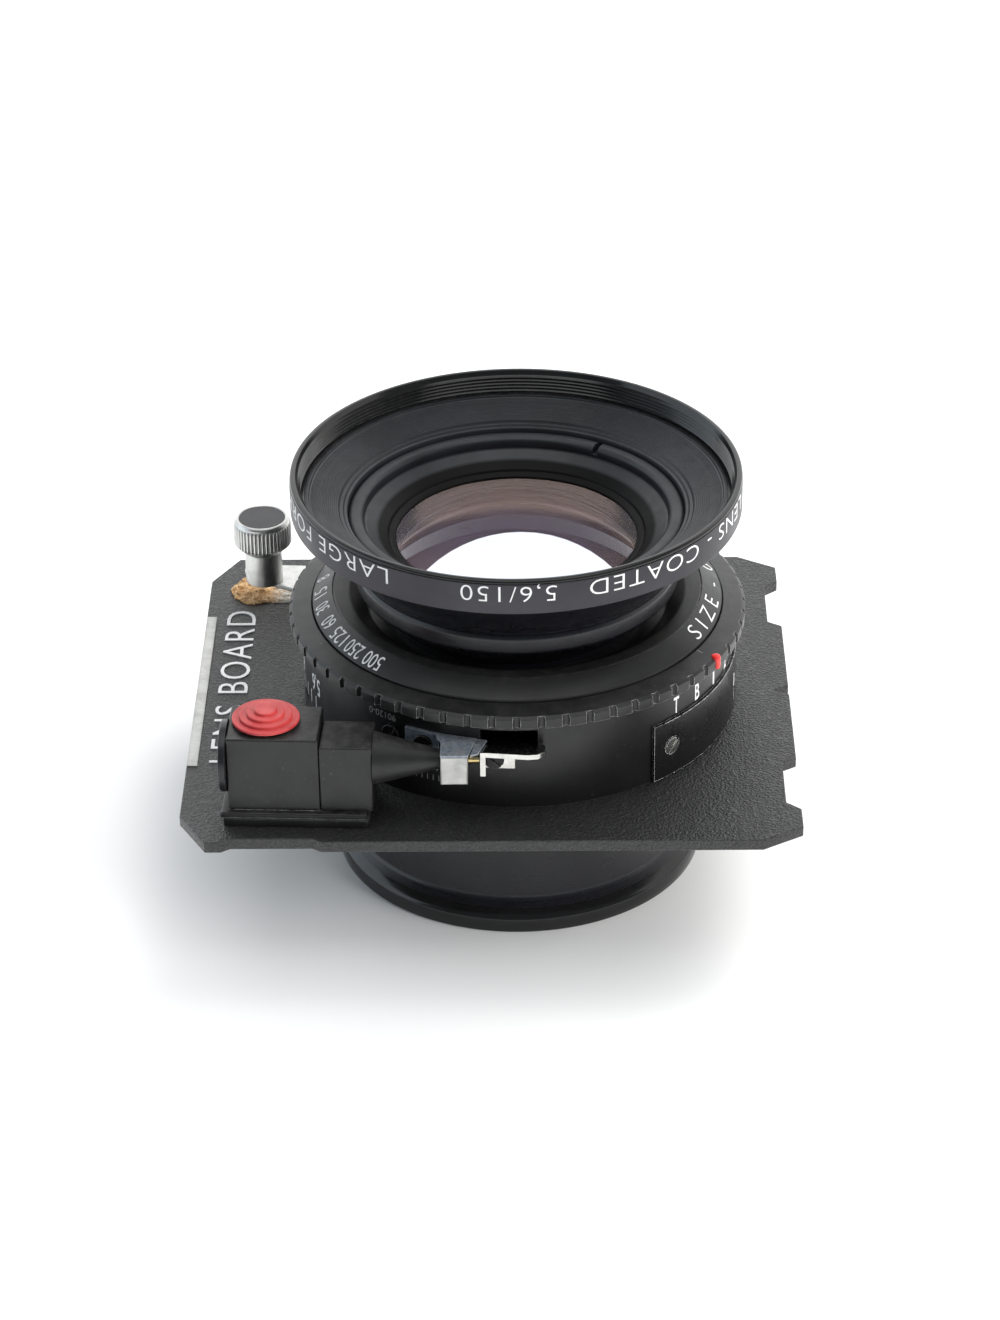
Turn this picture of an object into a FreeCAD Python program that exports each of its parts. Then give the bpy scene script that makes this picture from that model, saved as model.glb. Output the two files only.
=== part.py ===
import FreeCAD, Part
import math
import os

# View-camera lens: a front and a rear lens cell screwed into a leaf shutter, which a jam nut
# holds on a small flat lens board with a quick-release cable socket.
# Millimetres. The optical axis is Z, with the front of the lens at +Z. The origin is on the
# optical axis, in the plane of the rear rim. Heights named *_H are measured from the board's
# front face.

# ---- driving dimensions -------------------------------------------------------------------
BOARD_FRONT_Z = 22.7
BOARD_THICK = 1.6
BOARD_X = 81.0
BOARD_Y = 74.3
BOARD_CENTRE_X = -3.5
BOARD_HOLE_R = 17.3

NAME_RING_R = 30.0
NAME_RING_H = (29.5, 34.4)
FILTER_THREAD_R = 28.6
FILTER_THREAD_LENGTH = 2.1

CASE_R = 29.07
CASE_WALL = 1.15
CASE_TOP_H = 12.7
CELL_THREAD_R = 14.75
REAR_TUBE_R = 16.25
REAR_TUBE_LENGTH = 4.9
LIGHT_R = 12.6

SPEED_RING_R = 30.7
SPEED_RING_INNER_R = 27.65
SPEED_RING_H = (12.9, 14.55)
SPEED_RING_NOTCHES = 60
FACE_PLATE_R = 27.55
DIAL_CONE_H = (15.3, 17.15)
DIAL_CONE_INNER_R = 24.9
INDEX_R = 0.65
INDEX_DEG = -30.6

BLADE_COUNT = 5
BLADE_THICK = 0.14
BLADE_PITCH = 0.26

KNOB_X = -35.9
KNOB_Y = 24.4
KNOB_R = 4.05
KNOB_POST_R = 2.6
LEVER_TOP_H = 4.0
LEVER_THICK = 0.65
IRIS_TRAVEL_DEG = 48.0
IRIS_LEVER_DEG = (130.5, 146.5)

REAR_RIM_R = 25.2
REAR_RIM_LENGTH = 2.2

CABLE_Y = -30.6
CABLE_H = 8.45
SOCKET_TURN_DEG = -2.5
CUBE_X = (-9.85, -6.3)

RUN = 0.05      # radial clearance of a running fit
GAP = 0.1       # clearance between faces that pass each other


# ---- helpers ------------------------------------------------------------------------------
def z_of(height):
    """Z of a height above the board's front face."""
    return BOARD_FRONT_Z + height


def vec(x, y, z=0.0):
    return FreeCAD.Vector(x, y, z)


def polar(radius, degrees, z=0.0):
    angle = math.radians(degrees)
    return vec(radius * math.cos(angle), radius * math.sin(angle), z)


def cylinder(radius, z_low, z_high, x=0.0, y=0.0):
    return Part.makeCylinder(radius, z_high - z_low, vec(x, y, z_low))


def ring(r_out, r_in, z_low, z_high, x=0.0, y=0.0):
    outer = cylinder(r_out, z_low, z_high, x, y)
    return outer.cut(cylinder(r_in, z_low - 1.0, z_high + 1.0, x, y))


def box(x_range, y_range, z_range):
    size = [high - low for low, high in (x_range, y_range, z_range)]
    return Part.makeBox(*size, vec(x_range[0], y_range[0], z_range[0]))


def plate(points, z_low, z_high):
    """A flat plate with a polygon outline."""
    corners = [vec(x, y, z_low) for x, y in points]
    outline = Part.makePolygon(corners + corners[:1])
    return Part.Face(outline).extrude(vec(0, 0, z_high - z_low))


def turned(profile):
    """A solid of revolution about Z from a closed (radius, z) polygon."""
    corners = [vec(r, 0, z) for r, z in profile]
    outline = Part.makePolygon(corners + corners[:1])
    return Part.Face(outline).revolve(vec(0, 0, 0), vec(0, 0, 1), 360)


def sector(r_in, r_out, start_deg, end_deg, z_low, z_high):
    """A ring sector, flat on both faces."""
    middle = (start_deg + end_deg) / 2
    inner = [polar(r_in, a, z_low) for a in (start_deg, middle, end_deg)]
    outer = [polar(r_out, a, z_low) for a in (end_deg, middle, start_deg)]
    edges = [
        Part.Arc(*inner).toShape(),
        Part.makeLine(inner[2], outer[0]),
        Part.Arc(*outer).toShape(),
        Part.makeLine(outer[2], inner[0]),
    ]
    return Part.Face(Part.Wire(edges)).extrude(vec(0, 0, z_high - z_low))


def radial_cylinder(radius, degrees, height, r_near, r_far):
    """A round bar that points away from the optical axis."""
    return Part.makeCylinder(radius, r_far - r_near, polar(r_near, degrees, z_of(height)),
                             polar(1.0, degrees))


def round_edges(solid, radius, wanted):
    """Fillet the edges whose centre of mass passes the given test."""
    edges = [e for e in solid.Edges if wanted(e)]
    return solid.makeFillet(radius, edges)


def flat_at(z):
    """A test for edges that lie in the plane at z."""
    return lambda e: abs(e.BoundBox.ZMin - z) < 1e-4 and abs(e.BoundBox.ZMax - z) < 1e-4


def sag(curve_r, at_r):
    return curve_r - math.sqrt(curve_r ** 2 - at_r ** 2)


def lens(radius, front_z, front_curve, back_z, back_curve):
    """A glass element between two spherical caps.

    A positive curve bulges towards +Z and a negative one towards -Z.
    """
    def cap(vertex_z, curve):
        sign = 1.0 if curve > 0 else -1.0
        points = [vec(r, 0, vertex_z - sign * sag(abs(curve), r)) for r in (0.0, radius / 2, radius)]
        return points

    front = cap(front_z, front_curve)
    back = cap(back_z, back_curve)
    edges = [
        Part.Arc(*front).toShape(),
        Part.makeLine(front[2], back[2]),
        Part.Arc(*reversed(back)).toShape(),
        Part.makeLine(back[0], front[0]),
    ]
    return Part.Face(Part.Wire(edges)).revolve(vec(0, 0, 0), vec(0, 0, 1), 360)


def save(name, shape):
    shape.exportStep("parts/" + name + ".step")


# ---- lens board ---------------------------------------------------------------------------
NOTCH_DEPTH = 1.9
NOTCH_INNER = (18.5, 28.2)
NOTCH_MOUTH = (17.3, 29.8)
SLIT_DEPTH = 2.3
SLIT_HALF = 1.1
RIGHT_CHAMFER = (5.3, 3.2)
LEFT_CHAMFER = (3.65, 6.4)
RELIEF_X = (-37.1, -26.5)
RELIEF_DEPTH = 0.8
RELIEF_RAMP = 1.2


def lens_board():
    left = BOARD_CENTRE_X - BOARD_X / 2
    right = BOARD_CENTRE_X + BOARD_X / 2
    half_y = BOARD_Y / 2
    near_relief = [
        (RELIEF_X[0] - RELIEF_RAMP, -half_y),
        (RELIEF_X[0], -half_y + RELIEF_DEPTH),
        (RELIEF_X[1], -half_y + RELIEF_DEPTH),
        (RELIEF_X[1] + RELIEF_RAMP, -half_y),
    ]
    upper_right = [
        (right, SLIT_HALF),
        (right, NOTCH_MOUTH[0]),
        (right - NOTCH_DEPTH, NOTCH_INNER[0]),
        (right - NOTCH_DEPTH, NOTCH_INNER[1]),
        (right, NOTCH_MOUTH[1]),
        (right, half_y - RIGHT_CHAMFER[1]),
        (right - RIGHT_CHAMFER[0], half_y),
    ]
    lower_right = [(x, -y) for x, y in reversed(upper_right)]
    outline = [(left, -half_y + LEFT_CHAMFER[1]), (left + LEFT_CHAMFER[0], -half_y)]
    outline += near_relief + lower_right + [(right - SLIT_DEPTH, 0.0)] + upper_right
    outline += [(left + LEFT_CHAMFER[0], half_y), (left, half_y - LEFT_CHAMFER[1])]
    board = plate(outline, z_of(-BOARD_THICK), z_of(0))
    return board.cut(cylinder(BOARD_HOLE_R, z_of(-5), z_of(5)))


def board_label():
    left = BOARD_CENTRE_X - BOARD_X / 2
    return box((left + 0.05, left + 1.45), (-18.8, 20.5), (z_of(0), z_of(0.12)))


def adhesive_patch():
    """A crust of old adhesive under the knob, thinner towards the shutter."""
    crust = plate([(-41.4, 28.4), (-40.6, 25.6), (-38.7, 23.8), (-36.2, 23.9), (-35.6, 28.0),
                   (-36.4, 31.4), (-39.2, 31.8)], z_of(0), z_of(0.75))
    strip = plate([(-36.5, 24.2), (-25.5, 24.2), (-23.6, 26.0), (-24.8, 30.4), (-36.5, 30.8)],
                  z_of(0), z_of(0.35))
    return crust.fuse(strip).removeSplitter()


def jam_nut():
    nut = ring(21.5, REAR_TUBE_R + RUN, z_of(-BOARD_THICK - 2.5), z_of(-BOARD_THICK))
    for side in (-1, 1):
        nut = nut.cut(box(sorted((side * 18.5, side * 23)), (-1.1, 1.1), (z_of(-6), z_of(-3.2))))
    return nut


# ---- leaf shutter -------------------------------------------------------------------------
IRIS_BLADE_H = 1.35
IRIS_RING_H = (2.75, 3.35)
DIVIDER_H = (4.2, 4.7)
SHUTTER_BLADE_H = 4.85
BLADE_RING_H = (6.25, 6.85)
PREVIEW_H = (6.85, 7.35)
MECHANISM_H = (7.6, 8.2)
COCKING_H = (8.35, 8.95)
INNER_R = CASE_R - CASE_WALL
RING_R = 27.4
FRONT_TUBE_R = 16.5

IRIS_PIVOT_R = 24.5
SHUTTER_PIVOT_R = 25.3
POST_R = 0.45
IRIS_BAND = (LIGHT_R, 19.0)
SHUTTER_BAND = (LIGHT_R, 22.9)

RELEASE_PIVOT = (-1.7, -23.0)
RELEASE_H = (9.15, 9.85)
RELEASE_SLOT_DEG = (-99.5, -84.6)
GEAR_H = (9.0, 9.7)
GEAR_PLACE = (22.3, 192.0)
GEAR_TEETH = 24
PINION_TEETH = 12
GEAR_MODULE = 0.25

COCKING_DEG = 118.0
COCKING_TRAVEL_DEG = 50.0
PREVIEW_DEG = 84.0
PREVIEW_TRAVEL_DEG = 14.0
SYNC_DEG = 50.0
SYNC_H = 5.4
SYNC_R = 2.35
SYNC_NECK_R = 2.2


def wall_slot(start_deg, end_deg, low_h, high_h):
    return sector(INNER_R - 1.0, CASE_R + 2.0, start_deg, end_deg, z_of(low_h), z_of(high_h))


def shutter_case():
    case = ring(CASE_R, INNER_R, z_of(0), z_of(CASE_TOP_H))
    case = case.fuse(ring(CASE_R, CELL_THREAD_R, z_of(0), z_of(0.4)))
    case = case.fuse(ring(CASE_R, LIGHT_R, z_of(0.4), z_of(1.2)))
    case = case.fuse(ring(REAR_TUBE_R, CELL_THREAD_R, z_of(-REAR_TUBE_LENGTH), z_of(0)))
    for k in range(BLADE_COUNT):
        foot = polar(IRIS_PIVOT_R, 72 * k + 20)
        case = case.fuse(cylinder(POST_R, z_of(1.2), z_of(2.65), foot.x, foot.y))
    slots = [
        wall_slot(IRIS_LEVER_DEG[0], IRIS_LEVER_DEG[1] + IRIS_TRAVEL_DEG, 3.2, 4.15),
        wall_slot(RELEASE_SLOT_DEG[0], RELEASE_SLOT_DEG[1], RELEASE_H[0] - GAP, 11.7),
        wall_slot(COCKING_DEG - COCKING_TRAVEL_DEG - 6, COCKING_DEG + 6, 8.2, 9.1),
        wall_slot(PREVIEW_DEG - 5, PREVIEW_DEG + PREVIEW_TRAVEL_DEG + 5, 6.75, 7.5),
        radial_cylinder(SYNC_NECK_R + RUN, SYNC_DEG, SYNC_H, INNER_R - 1.5, CASE_R + 2),
    ]
    for slot in slots:
        case = case.cut(slot)
    return case.removeSplitter()


def divider_plate():
    """The fixed plate between the iris and the shutter blades, with the blades' pivots."""
    body = ring(INNER_R - 0.05, LIGHT_R, z_of(DIVIDER_H[0]), z_of(DIVIDER_H[1]))
    for k in range(BLADE_COUNT):
        foot = polar(SHUTTER_PIVOT_R, 72 * k)
        body = body.fuse(cylinder(POST_R, z_of(DIVIDER_H[1]), z_of(6.15), foot.x, foot.y))
    return body.removeSplitter()


def gear_centres():
    """The big gear's centre, and the pinion's, which meshes with it along the wall."""
    big = polar(*GEAR_PLACE)
    apart = GEAR_MODULE * (GEAR_TEETH + PINION_TEETH) / 2
    across = polar(apart, GEAR_PLACE[1] - 90)
    return big, big.add(across)


def mechanism_plate():
    """The plate that carries the pivots of the release lever and the retard gears."""
    body = ring(INNER_R - 0.05, LIGHT_R, z_of(MECHANISM_H[0]), z_of(MECHANISM_H[1]))
    big, small = gear_centres()
    for centre in (big, small):
        body = body.fuse(cylinder(0.5, z_of(MECHANISM_H[1]), z_of(10.2), centre.x, centre.y))
    x, y = RELEASE_PIVOT
    body = body.fuse(cylinder(1.6, z_of(MECHANISM_H[1]), z_of(RELEASE_H[0] - GAP), x, y))
    body = body.fuse(cylinder(0.8, z_of(MECHANISM_H[1]), z_of(10.6), x, y))
    return body.removeSplitter()


def face_plate():
    """The fixed dial face and the threaded tube that takes the front cell."""
    profile = [
        (CELL_THREAD_R, z_of(MECHANISM_H[1])),
        (FRONT_TUBE_R, z_of(MECHANISM_H[1])),
        (FRONT_TUBE_R, z_of(12.7)),
        (FACE_PLATE_R, z_of(12.7)),
        (FACE_PLATE_R, z_of(DIAL_CONE_H[0])),
        (DIAL_CONE_INNER_R, z_of(DIAL_CONE_H[1])),
        (DIAL_CONE_INNER_R - 0.15, z_of(16.95)),
        (22.6, z_of(16.9)),
        (20.2, z_of(15.2)),
        (20.2, z_of(13.5)),
        (CELL_THREAD_R, z_of(13.5)),
    ]
    return turned(profile)


def blade(pivot_r, pivot_deg, band, span_deg, low_h):
    """A crescent with an ear round its pivot; it lies outside the light path when open."""
    z_low = z_of(low_h)
    z_high = z_low + BLADE_THICK
    crescent = sector(band[0] + 0.05, band[1], pivot_deg + 1, pivot_deg + span_deg, z_low, z_high)
    foot = polar(pivot_r, pivot_deg)
    ear = cylinder(1.25, z_low, z_high, foot.x, foot.y)
    neck = sector(band[1] - 1.0, pivot_r, pivot_deg - 1.5, pivot_deg + 3.0, z_low, z_high)
    shape = crescent.fuse(neck).fuse(ear)
    hole = cylinder(POST_R + RUN, z_low - 1, z_high + 1, foot.x, foot.y)
    return shape.cut(hole).removeSplitter()


def drive_ring(heights):
    return ring(RING_R, LIGHT_R + 0.4, z_of(heights[0]), z_of(heights[1]))


def iris_lever():
    """The lever through the case's side that turns the iris ring."""
    outline = [(-38.5, 25.2), (-31.6, 21.5), (-18.6, 14.6), (-14.9, 18.0), (-27.4, 27.0),
               (-30.2, 28.2), (-37.4, 28.6), (-38.9, 27.4)]
    return plate(outline, z_of(LEVER_TOP_H - LEVER_THICK), z_of(LEVER_TOP_H))


KNOB_POST_H = (LEVER_TOP_H, LEVER_TOP_H + 4.8)
KNOB_HEAD_H = (KNOB_POST_H[1], KNOB_POST_H[1] + 5.2)
KNOB_INLAY_R = 3.25
KNURLS = 44


def knob_post():
    return cylinder(KNOB_POST_R, z_of(KNOB_POST_H[0]), z_of(KNOB_POST_H[1]), KNOB_X, KNOB_Y)


def knob_head():
    low, high = (z_of(h) for h in KNOB_HEAD_H)
    profile = [
        (0.0, low),
        (KNOB_POST_R, low),
        (KNOB_R, low + 1.35),
        (KNOB_R, high - 0.8),
        (KNOB_R - 0.25, high - 0.25),
        (KNOB_R - 0.65, high),
        (KNOB_INLAY_R, high),
        (KNOB_INLAY_R, high - 0.4),
        (0.0, high - 0.4),
    ]
    head = turned(profile)
    head.translate(vec(KNOB_X, KNOB_Y, 0))
    for k in range(KNURLS):
        spot = polar(KNOB_R + 0.06, 360.0 * k / KNURLS)
        groove = cylinder(0.2, low - 0.5, high - 1.0, KNOB_X + spot.x, KNOB_Y + spot.y)
        head = head.cut(groove)
    return head


def knob_inlay():
    top = z_of(KNOB_HEAD_H[1])
    return cylinder(KNOB_INLAY_R - 0.02, top - 0.4, top - 0.08, KNOB_X, KNOB_Y)


def speed_ring():
    """The turning ring round the dial, with a bevelled and notched outer edge."""
    low, high = (z_of(h) for h in SPEED_RING_H)
    profile = [
        (SPEED_RING_INNER_R, low),
        (SPEED_RING_R, low),
        (SPEED_RING_R, high - 0.35),
        (SPEED_RING_R - 0.45, high),
        (SPEED_RING_INNER_R, high + 0.5),
    ]
    body = turned(profile)
    for k in range(SPEED_RING_NOTCHES):
        spot = polar(SPEED_RING_R + 0.1, 360.0 * k / SPEED_RING_NOTCHES - 90)
        body = body.cut(cylinder(0.5, z_of(11), z_of(16), spot.x, spot.y))
    return body.cut(index_bead(INDEX_R + 0.02))


def index_bead(radius=INDEX_R):
    """The enamelled index bead let into the speed ring's edge."""
    spot = polar(SPEED_RING_R - 0.35, INDEX_DEG)
    return cylinder(radius, z_of(13.0), z_of(SPEED_RING_H[1] + 0.25), spot.x, spot.y)


def cocking_lever():
    low, high = (z_of(h) for h in COCKING_H)
    hub = ring(20.0, FRONT_TUBE_R + RUN, low, high)
    arm = sector(19.0, 36.5, COCKING_DEG - 3.0, COCKING_DEG + 3.0, low, high)
    tab = sector(35.9, 36.5, COCKING_DEG - 3.0, COCKING_DEG + 3.0, low, high + 3.4)
    return hub.fuse(arm).fuse(tab).removeSplitter()


def preview_lever():
    low, high = (z_of(h) for h in PREVIEW_H)
    arm = sector(21.0, 32.5, PREVIEW_DEG - 2.4, PREVIEW_DEG + 2.4, low, high)
    tab = sector(31.9, 32.5, PREVIEW_DEG - 2.4, PREVIEW_DEG + 2.4, low - 1.6, high)
    return arm.fuse(tab).removeSplitter()


def release_lever():
    """A bent steel plate: a pivoted inner arm, a finger plate outside, and a turned-down tab."""
    low, high = (z_of(h) for h in RELEASE_H)
    x, y = RELEASE_PIVOT
    inner = plate([(x - 2.2, y + 1.6), (x + 2.0, y + 1.6), (x + 2.3, -27.0), (0.4, -29.6),
                   (-3.6, -29.6), (-3.7, -27.0)], low, high)
    finger = plate([(-4.75, -29.5), (-4.75, -31.4), (1.4, -32.1), (2.7, -31.95), (3.55, -31.2),
                    (3.75, -30.3), (3.55, -29.5)], low, high)
    tab = box((-4.75, -4.05), (-31.5, -30.15), (z_of(6.3), high))
    shape = inner.fuse(finger).fuse(tab)
    return shape.cut(cylinder(0.8 + RUN, low - 1, high + 1, x, y)).removeSplitter()


def gear(teeth, bore_r, centre, phase_deg):
    """A spur gear with straight-sided teeth, thin enough to run with backlash."""
    pitch_r = GEAR_MODULE * teeth / 2
    root_r = pitch_r - 1.3 * GEAR_MODULE
    tip_r = pitch_r + 0.75 * GEAR_MODULE
    step = 360.0 / teeth
    points = []
    for k in range(teeth):
        middle = phase_deg + k * step
        for radius, offset in ((root_r, -0.29), (tip_r, -0.1), (tip_r, 0.1), (root_r, 0.29)):
            corner = polar(radius, middle + offset * step)
            points.append((centre.x + corner.x, centre.y + corner.y))
    blank = plate(points, z_of(GEAR_H[0]), z_of(GEAR_H[1]))
    return blank.cut(cylinder(bore_r, z_of(8), z_of(11), centre.x, centre.y))


def retard_gears():
    """The two meshed gears; the pinion has a tooth gap where the big gear has a tooth."""
    big, small = gear_centres()
    towards = GEAR_PLACE[1] - 90
    wheel = gear(GEAR_TEETH, 0.5 + RUN, big, towards)
    pinion = gear(PINION_TEETH, 0.5 + RUN, small, towards + 180 + 180.0 / PINION_TEETH)
    return wheel, pinion


def main_spring():
    """The flat mainspring, wound round the front tube."""
    turns = 2
    wire = 0.4
    pitch = 0.55
    helix = Part.makeHelix(pitch, pitch * turns, FRONT_TUBE_R + 0.9)
    helix.translate(vec(0, 0, z_of(9.4)))
    start = helix.Vertexes[0].Point
    section = Part.Wire(Part.makeCircle(wire / 2, start, vec(0, 1, 0)))
    return Part.Wire(helix.Edges).makePipeShell([section], True, True)


def side_cover_plate():
    cover = sector(CASE_R + 0.02, CASE_R + 0.5, -52.6, 36.0, z_of(0.15), z_of(8.5))
    screw_hole = radial_cylinder(1.25, -46.5, 4.6, CASE_R - 3, CASE_R + 3)
    return cover.cut(screw_hole)


def slotted_screw(head_r, degrees, height, r_seat, head_thick, slot_turn_deg):
    """A cheese-head screw on the case wall, with a slot across its head."""
    head = radial_cylinder(head_r, degrees, height, r_seat, r_seat + head_thick)
    slot = box((-0.15, 0.15), (-5, 5), (-0.25, 1.0))
    slot.rotate(vec(0, 0, 0), vec(0, 0, 1), slot_turn_deg)
    slot.rotate(vec(0, 0, 0), vec(0, 1, 0), 90)
    slot.rotate(vec(0, 0, 0), vec(0, 0, 1), degrees)
    slot.translate(polar(r_seat + head_thick, degrees, z_of(height)))
    return head.cut(slot)


def cover_screw():
    return slotted_screw(1.15, -46.5, 4.6, CASE_R + 0.02, 0.6, 40)


# ---- cable release socket on the shutter --------------------------------------------------
BRACKET_H = (10.05, 10.35)
WING_DEG = (-119.5, -110.0)
LEVER_PLATE_DEG = (-99.2, -90.5)


def release_bracket():
    """A bent steel bracket: a wing on the case wall, a shelf over the socket and a bent lip."""
    wing = sector(CASE_R + 0.02, CASE_R + 0.5, WING_DEG[0], WING_DEG[1], z_of(5.7), z_of(10.35))
    shelf_points = [(CUBE_X[0], -32.95), (CUBE_X[1], -32.95), (-5.15, -28.3), (-10.4, -26.5),
                    (-10.4, -28.6), (CUBE_X[0], -29.3)]
    shelf = plate(shelf_points, z_of(BRACKET_H[0]), z_of(BRACKET_H[1]))
    shelf = shelf.cut(cylinder(CASE_R + 0.02, z_of(5), z_of(15)))
    lip_points = [(-6.0, -32.6), (-5.0, -32.2), (-3.85, -28.9), (-5.2, -28.5)]
    lip = plate(lip_points, z_of(BRACKET_H[0] - 0.05), z_of(BRACKET_H[0] + 0.15))
    lip = lip.cut(cylinder(CASE_R + 0.02, z_of(5), z_of(15)))
    hole = radial_cylinder(0.9, -114.2, 8.6, CASE_R - 3, CASE_R + 3)
    return wing.cut(hole).fuse(shelf).fuse(lip).removeSplitter()


def release_socket():
    """The nickel-plated block that the cable and the transfer pin pass through."""
    block = box(CUBE_X, (-33.0, -26.0), (z_of(5.9), z_of(BRACKET_H[0])))
    block = block.cut(cylinder(CASE_R + 0.02, z_of(5), z_of(15)))
    upright = [e for e in block.Edges
               if e.BoundBox.ZLength > 3 and e.BoundBox.YMax < -32.5]
    bottom = [e for e in block.Edges
              if e.BoundBox.ZMax < z_of(5.91) and e.BoundBox.YMax < -32.5]
    block = block.makeFillet(0.25, upright + bottom)
    bore = Part.makeCylinder(PIN_R + RUN, 6, vec(CUBE_X[0] - 1, CABLE_Y, z_of(CABLE_H)),
                             vec(1, 0, 0))
    return block.cut(bore)


PIN_R = 0.57


def transfer_pin():
    """The brass pin that the cable's core pushes against the release lever."""
    start = CUBE_X[0] + 0.3
    length = -4.75 - GAP / 2 - start
    return Part.makeCylinder(PIN_R, length, vec(start, CABLE_Y, z_of(CABLE_H)), vec(1, 0, 0))


def lever_plate():
    """The small bright plate under the release lever."""
    body = sector(CASE_R + 0.02, CASE_R + 0.42, LEVER_PLATE_DEG[0], LEVER_PLATE_DEG[1],
                  z_of(6.2), z_of(9.0))
    return body.cut(radial_cylinder(0.75, -95.8, 7.65, CASE_R - 3, CASE_R + 3))


def bracket_screws():
    """Three slotted screws: on the bracket's wing, beside it, and on the lever plate."""
    wing_screw = slotted_screw(1.3, -114.2, 8.6, CASE_R + 0.52, 0.45, 20)
    side_screw = slotted_screw(1.35, -123.9, 8.5, CASE_R + 0.02, 0.6, 70)
    plate_screw = slotted_screw(1.35, -95.8, 7.65, CASE_R + 0.44, 0.4, -38)
    return Part.makeCompound([wing_screw, side_screw, plate_screw])


# ---- quick-release cable socket on the board ----------------------------------------------
# Built with the cable along -X from the shutter's socket, then turned about that end.
SOCKET_BASE_H = (0.0, 1.25)
SOCKET_FLANGE_H = (1.3, 2.0)
SOCKET_TOP_H = 12.6
EXTENSION_TOP_H = 11.5
SOCKET_X = (-37.35, -25.4)
EXTENSION_X = (-25.35, -18.5)
SOCKET_Y = (-33.5, -24.9)
EXTENSION_Y = (-33.4, -26.6)
BUTTON_R = 4.4
BUTTON_X = -32.5
BUTTON_Y = -28.7
BUTTON_SKIRT_R = 3.3
BUTTON_TRAVEL = 0.35
BUTTON_DISC_H = SOCKET_TOP_H + BUTTON_TRAVEL + 0.05
BUTTON_FLOOR_H = 11.9
STEM_R = 0.9
STEM_BOTTOM_H = 10.65
LATCH_HALF_X = 0.4
LATCH_HALF_Y = 1.7
LATCH_BOTTOM_H = 5.6
LATCH_HOLE_HALF = 1.35   # half the width of the latch's square opening
BORE_R = 1.5
NOSE_BORE_R = 1.2   # beyond the latch, for the nose of the cable's plug


def turn_socket(shape):
    pivot = vec(CUBE_X[0], CABLE_Y, 0)
    shape.rotate(pivot, vec(0, 0, 1), SOCKET_TURN_DEG)
    return shape


def cable_bar(radius, x_low, x_high):
    return Part.makeCylinder(radius, x_high - x_low, vec(x_low, CABLE_Y, z_of(CABLE_H)),
                             vec(1, 0, 0))


def socket_base_plate():
    body = box((-37.95, -19.0), (-34.5, -24.2), [z_of(h) for h in SOCKET_BASE_H])
    return turn_socket(round_edges(body, 0.4, lambda e: e.BoundBox.ZLength > 1))


def socket_block():
    """The housing with the button's well and the bore for the cable's plug."""
    flange = box((-38.3, -19.2), (-34.4, -24.3), [z_of(h) for h in SOCKET_FLANGE_H])
    flange = round_edges(flange, 0.3, lambda e: e.BoundBox.ZMax > z_of(1.9))
    body = box(SOCKET_X, SOCKET_Y, (z_of(1.9), z_of(SOCKET_TOP_H)))
    body = round_edges(body, 0.25, lambda e: e.BoundBox.ZMax > z_of(SOCKET_TOP_H - 0.1))
    body = body.fuse(flange)
    well_h = 10.75
    stem_h = STEM_BOTTOM_H - BUTTON_TRAVEL - GAP
    body = body.cut(cylinder(BUTTON_SKIRT_R + GAP, z_of(well_h), z_of(14), BUTTON_X, BUTTON_Y))
    body = body.cut(cylinder(STEM_R + GAP, z_of(stem_h), z_of(well_h), BUTTON_X, BUTTON_Y))
    body = body.cut(cable_bar(BORE_R, -40.0, BUTTON_X))
    body = body.cut(cable_bar(NOSE_BORE_R, BUTTON_X, -17.0))
    half_x = LATCH_HALF_X + GAP
    half_y = LATCH_HALF_Y + GAP
    pocket = box((BUTTON_X - half_x, BUTTON_X + half_x), (CABLE_Y - half_y, CABLE_Y + half_y),
                 (z_of(LATCH_BOTTOM_H - BUTTON_TRAVEL - GAP), z_of(well_h)))
    return turn_socket(body.cut(pocket).removeSplitter())


def latch_plate():
    """The plate that the button pushes down; its square opening then frees the plug."""
    body = box((BUTTON_X - LATCH_HALF_X, BUTTON_X + LATCH_HALF_X),
               (CABLE_Y - LATCH_HALF_Y, CABLE_Y + LATCH_HALF_Y),
               (z_of(LATCH_BOTTOM_H), z_of(STEM_BOTTOM_H)))
    half = LATCH_HOLE_HALF
    middle = CABLE_H + BUTTON_TRAVEL
    hole = box((BUTTON_X - 2, BUTTON_X + 2), (CABLE_Y - half, CABLE_Y + half),
               (z_of(middle - 1.6), z_of(middle + 1.3)))
    return turn_socket(body.cut(hole))


def socket_extension():
    body = box(EXTENSION_X, EXTENSION_Y, (z_of(2.05), z_of(EXTENSION_TOP_H)))
    body = round_edges(body, 0.2, lambda e: e.BoundBox.ZMax > z_of(EXTENSION_TOP_H - 0.1))
    return turn_socket(body.cut(cable_bar(NOSE_BORE_R, -40.0, -17.0)))


def socket_collar():
    """The round flange that the cable's plug butts against."""
    disc = cable_bar(4.7, -38.25, SOCKET_X[0] - 0.02)
    disc = round_edges(disc, 0.2, lambda e: e.BoundBox.XMax < -38.2 and e.Length > 5)
    return turn_socket(disc.cut(cable_bar(BORE_R, -40.0, -17.0)))


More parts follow.
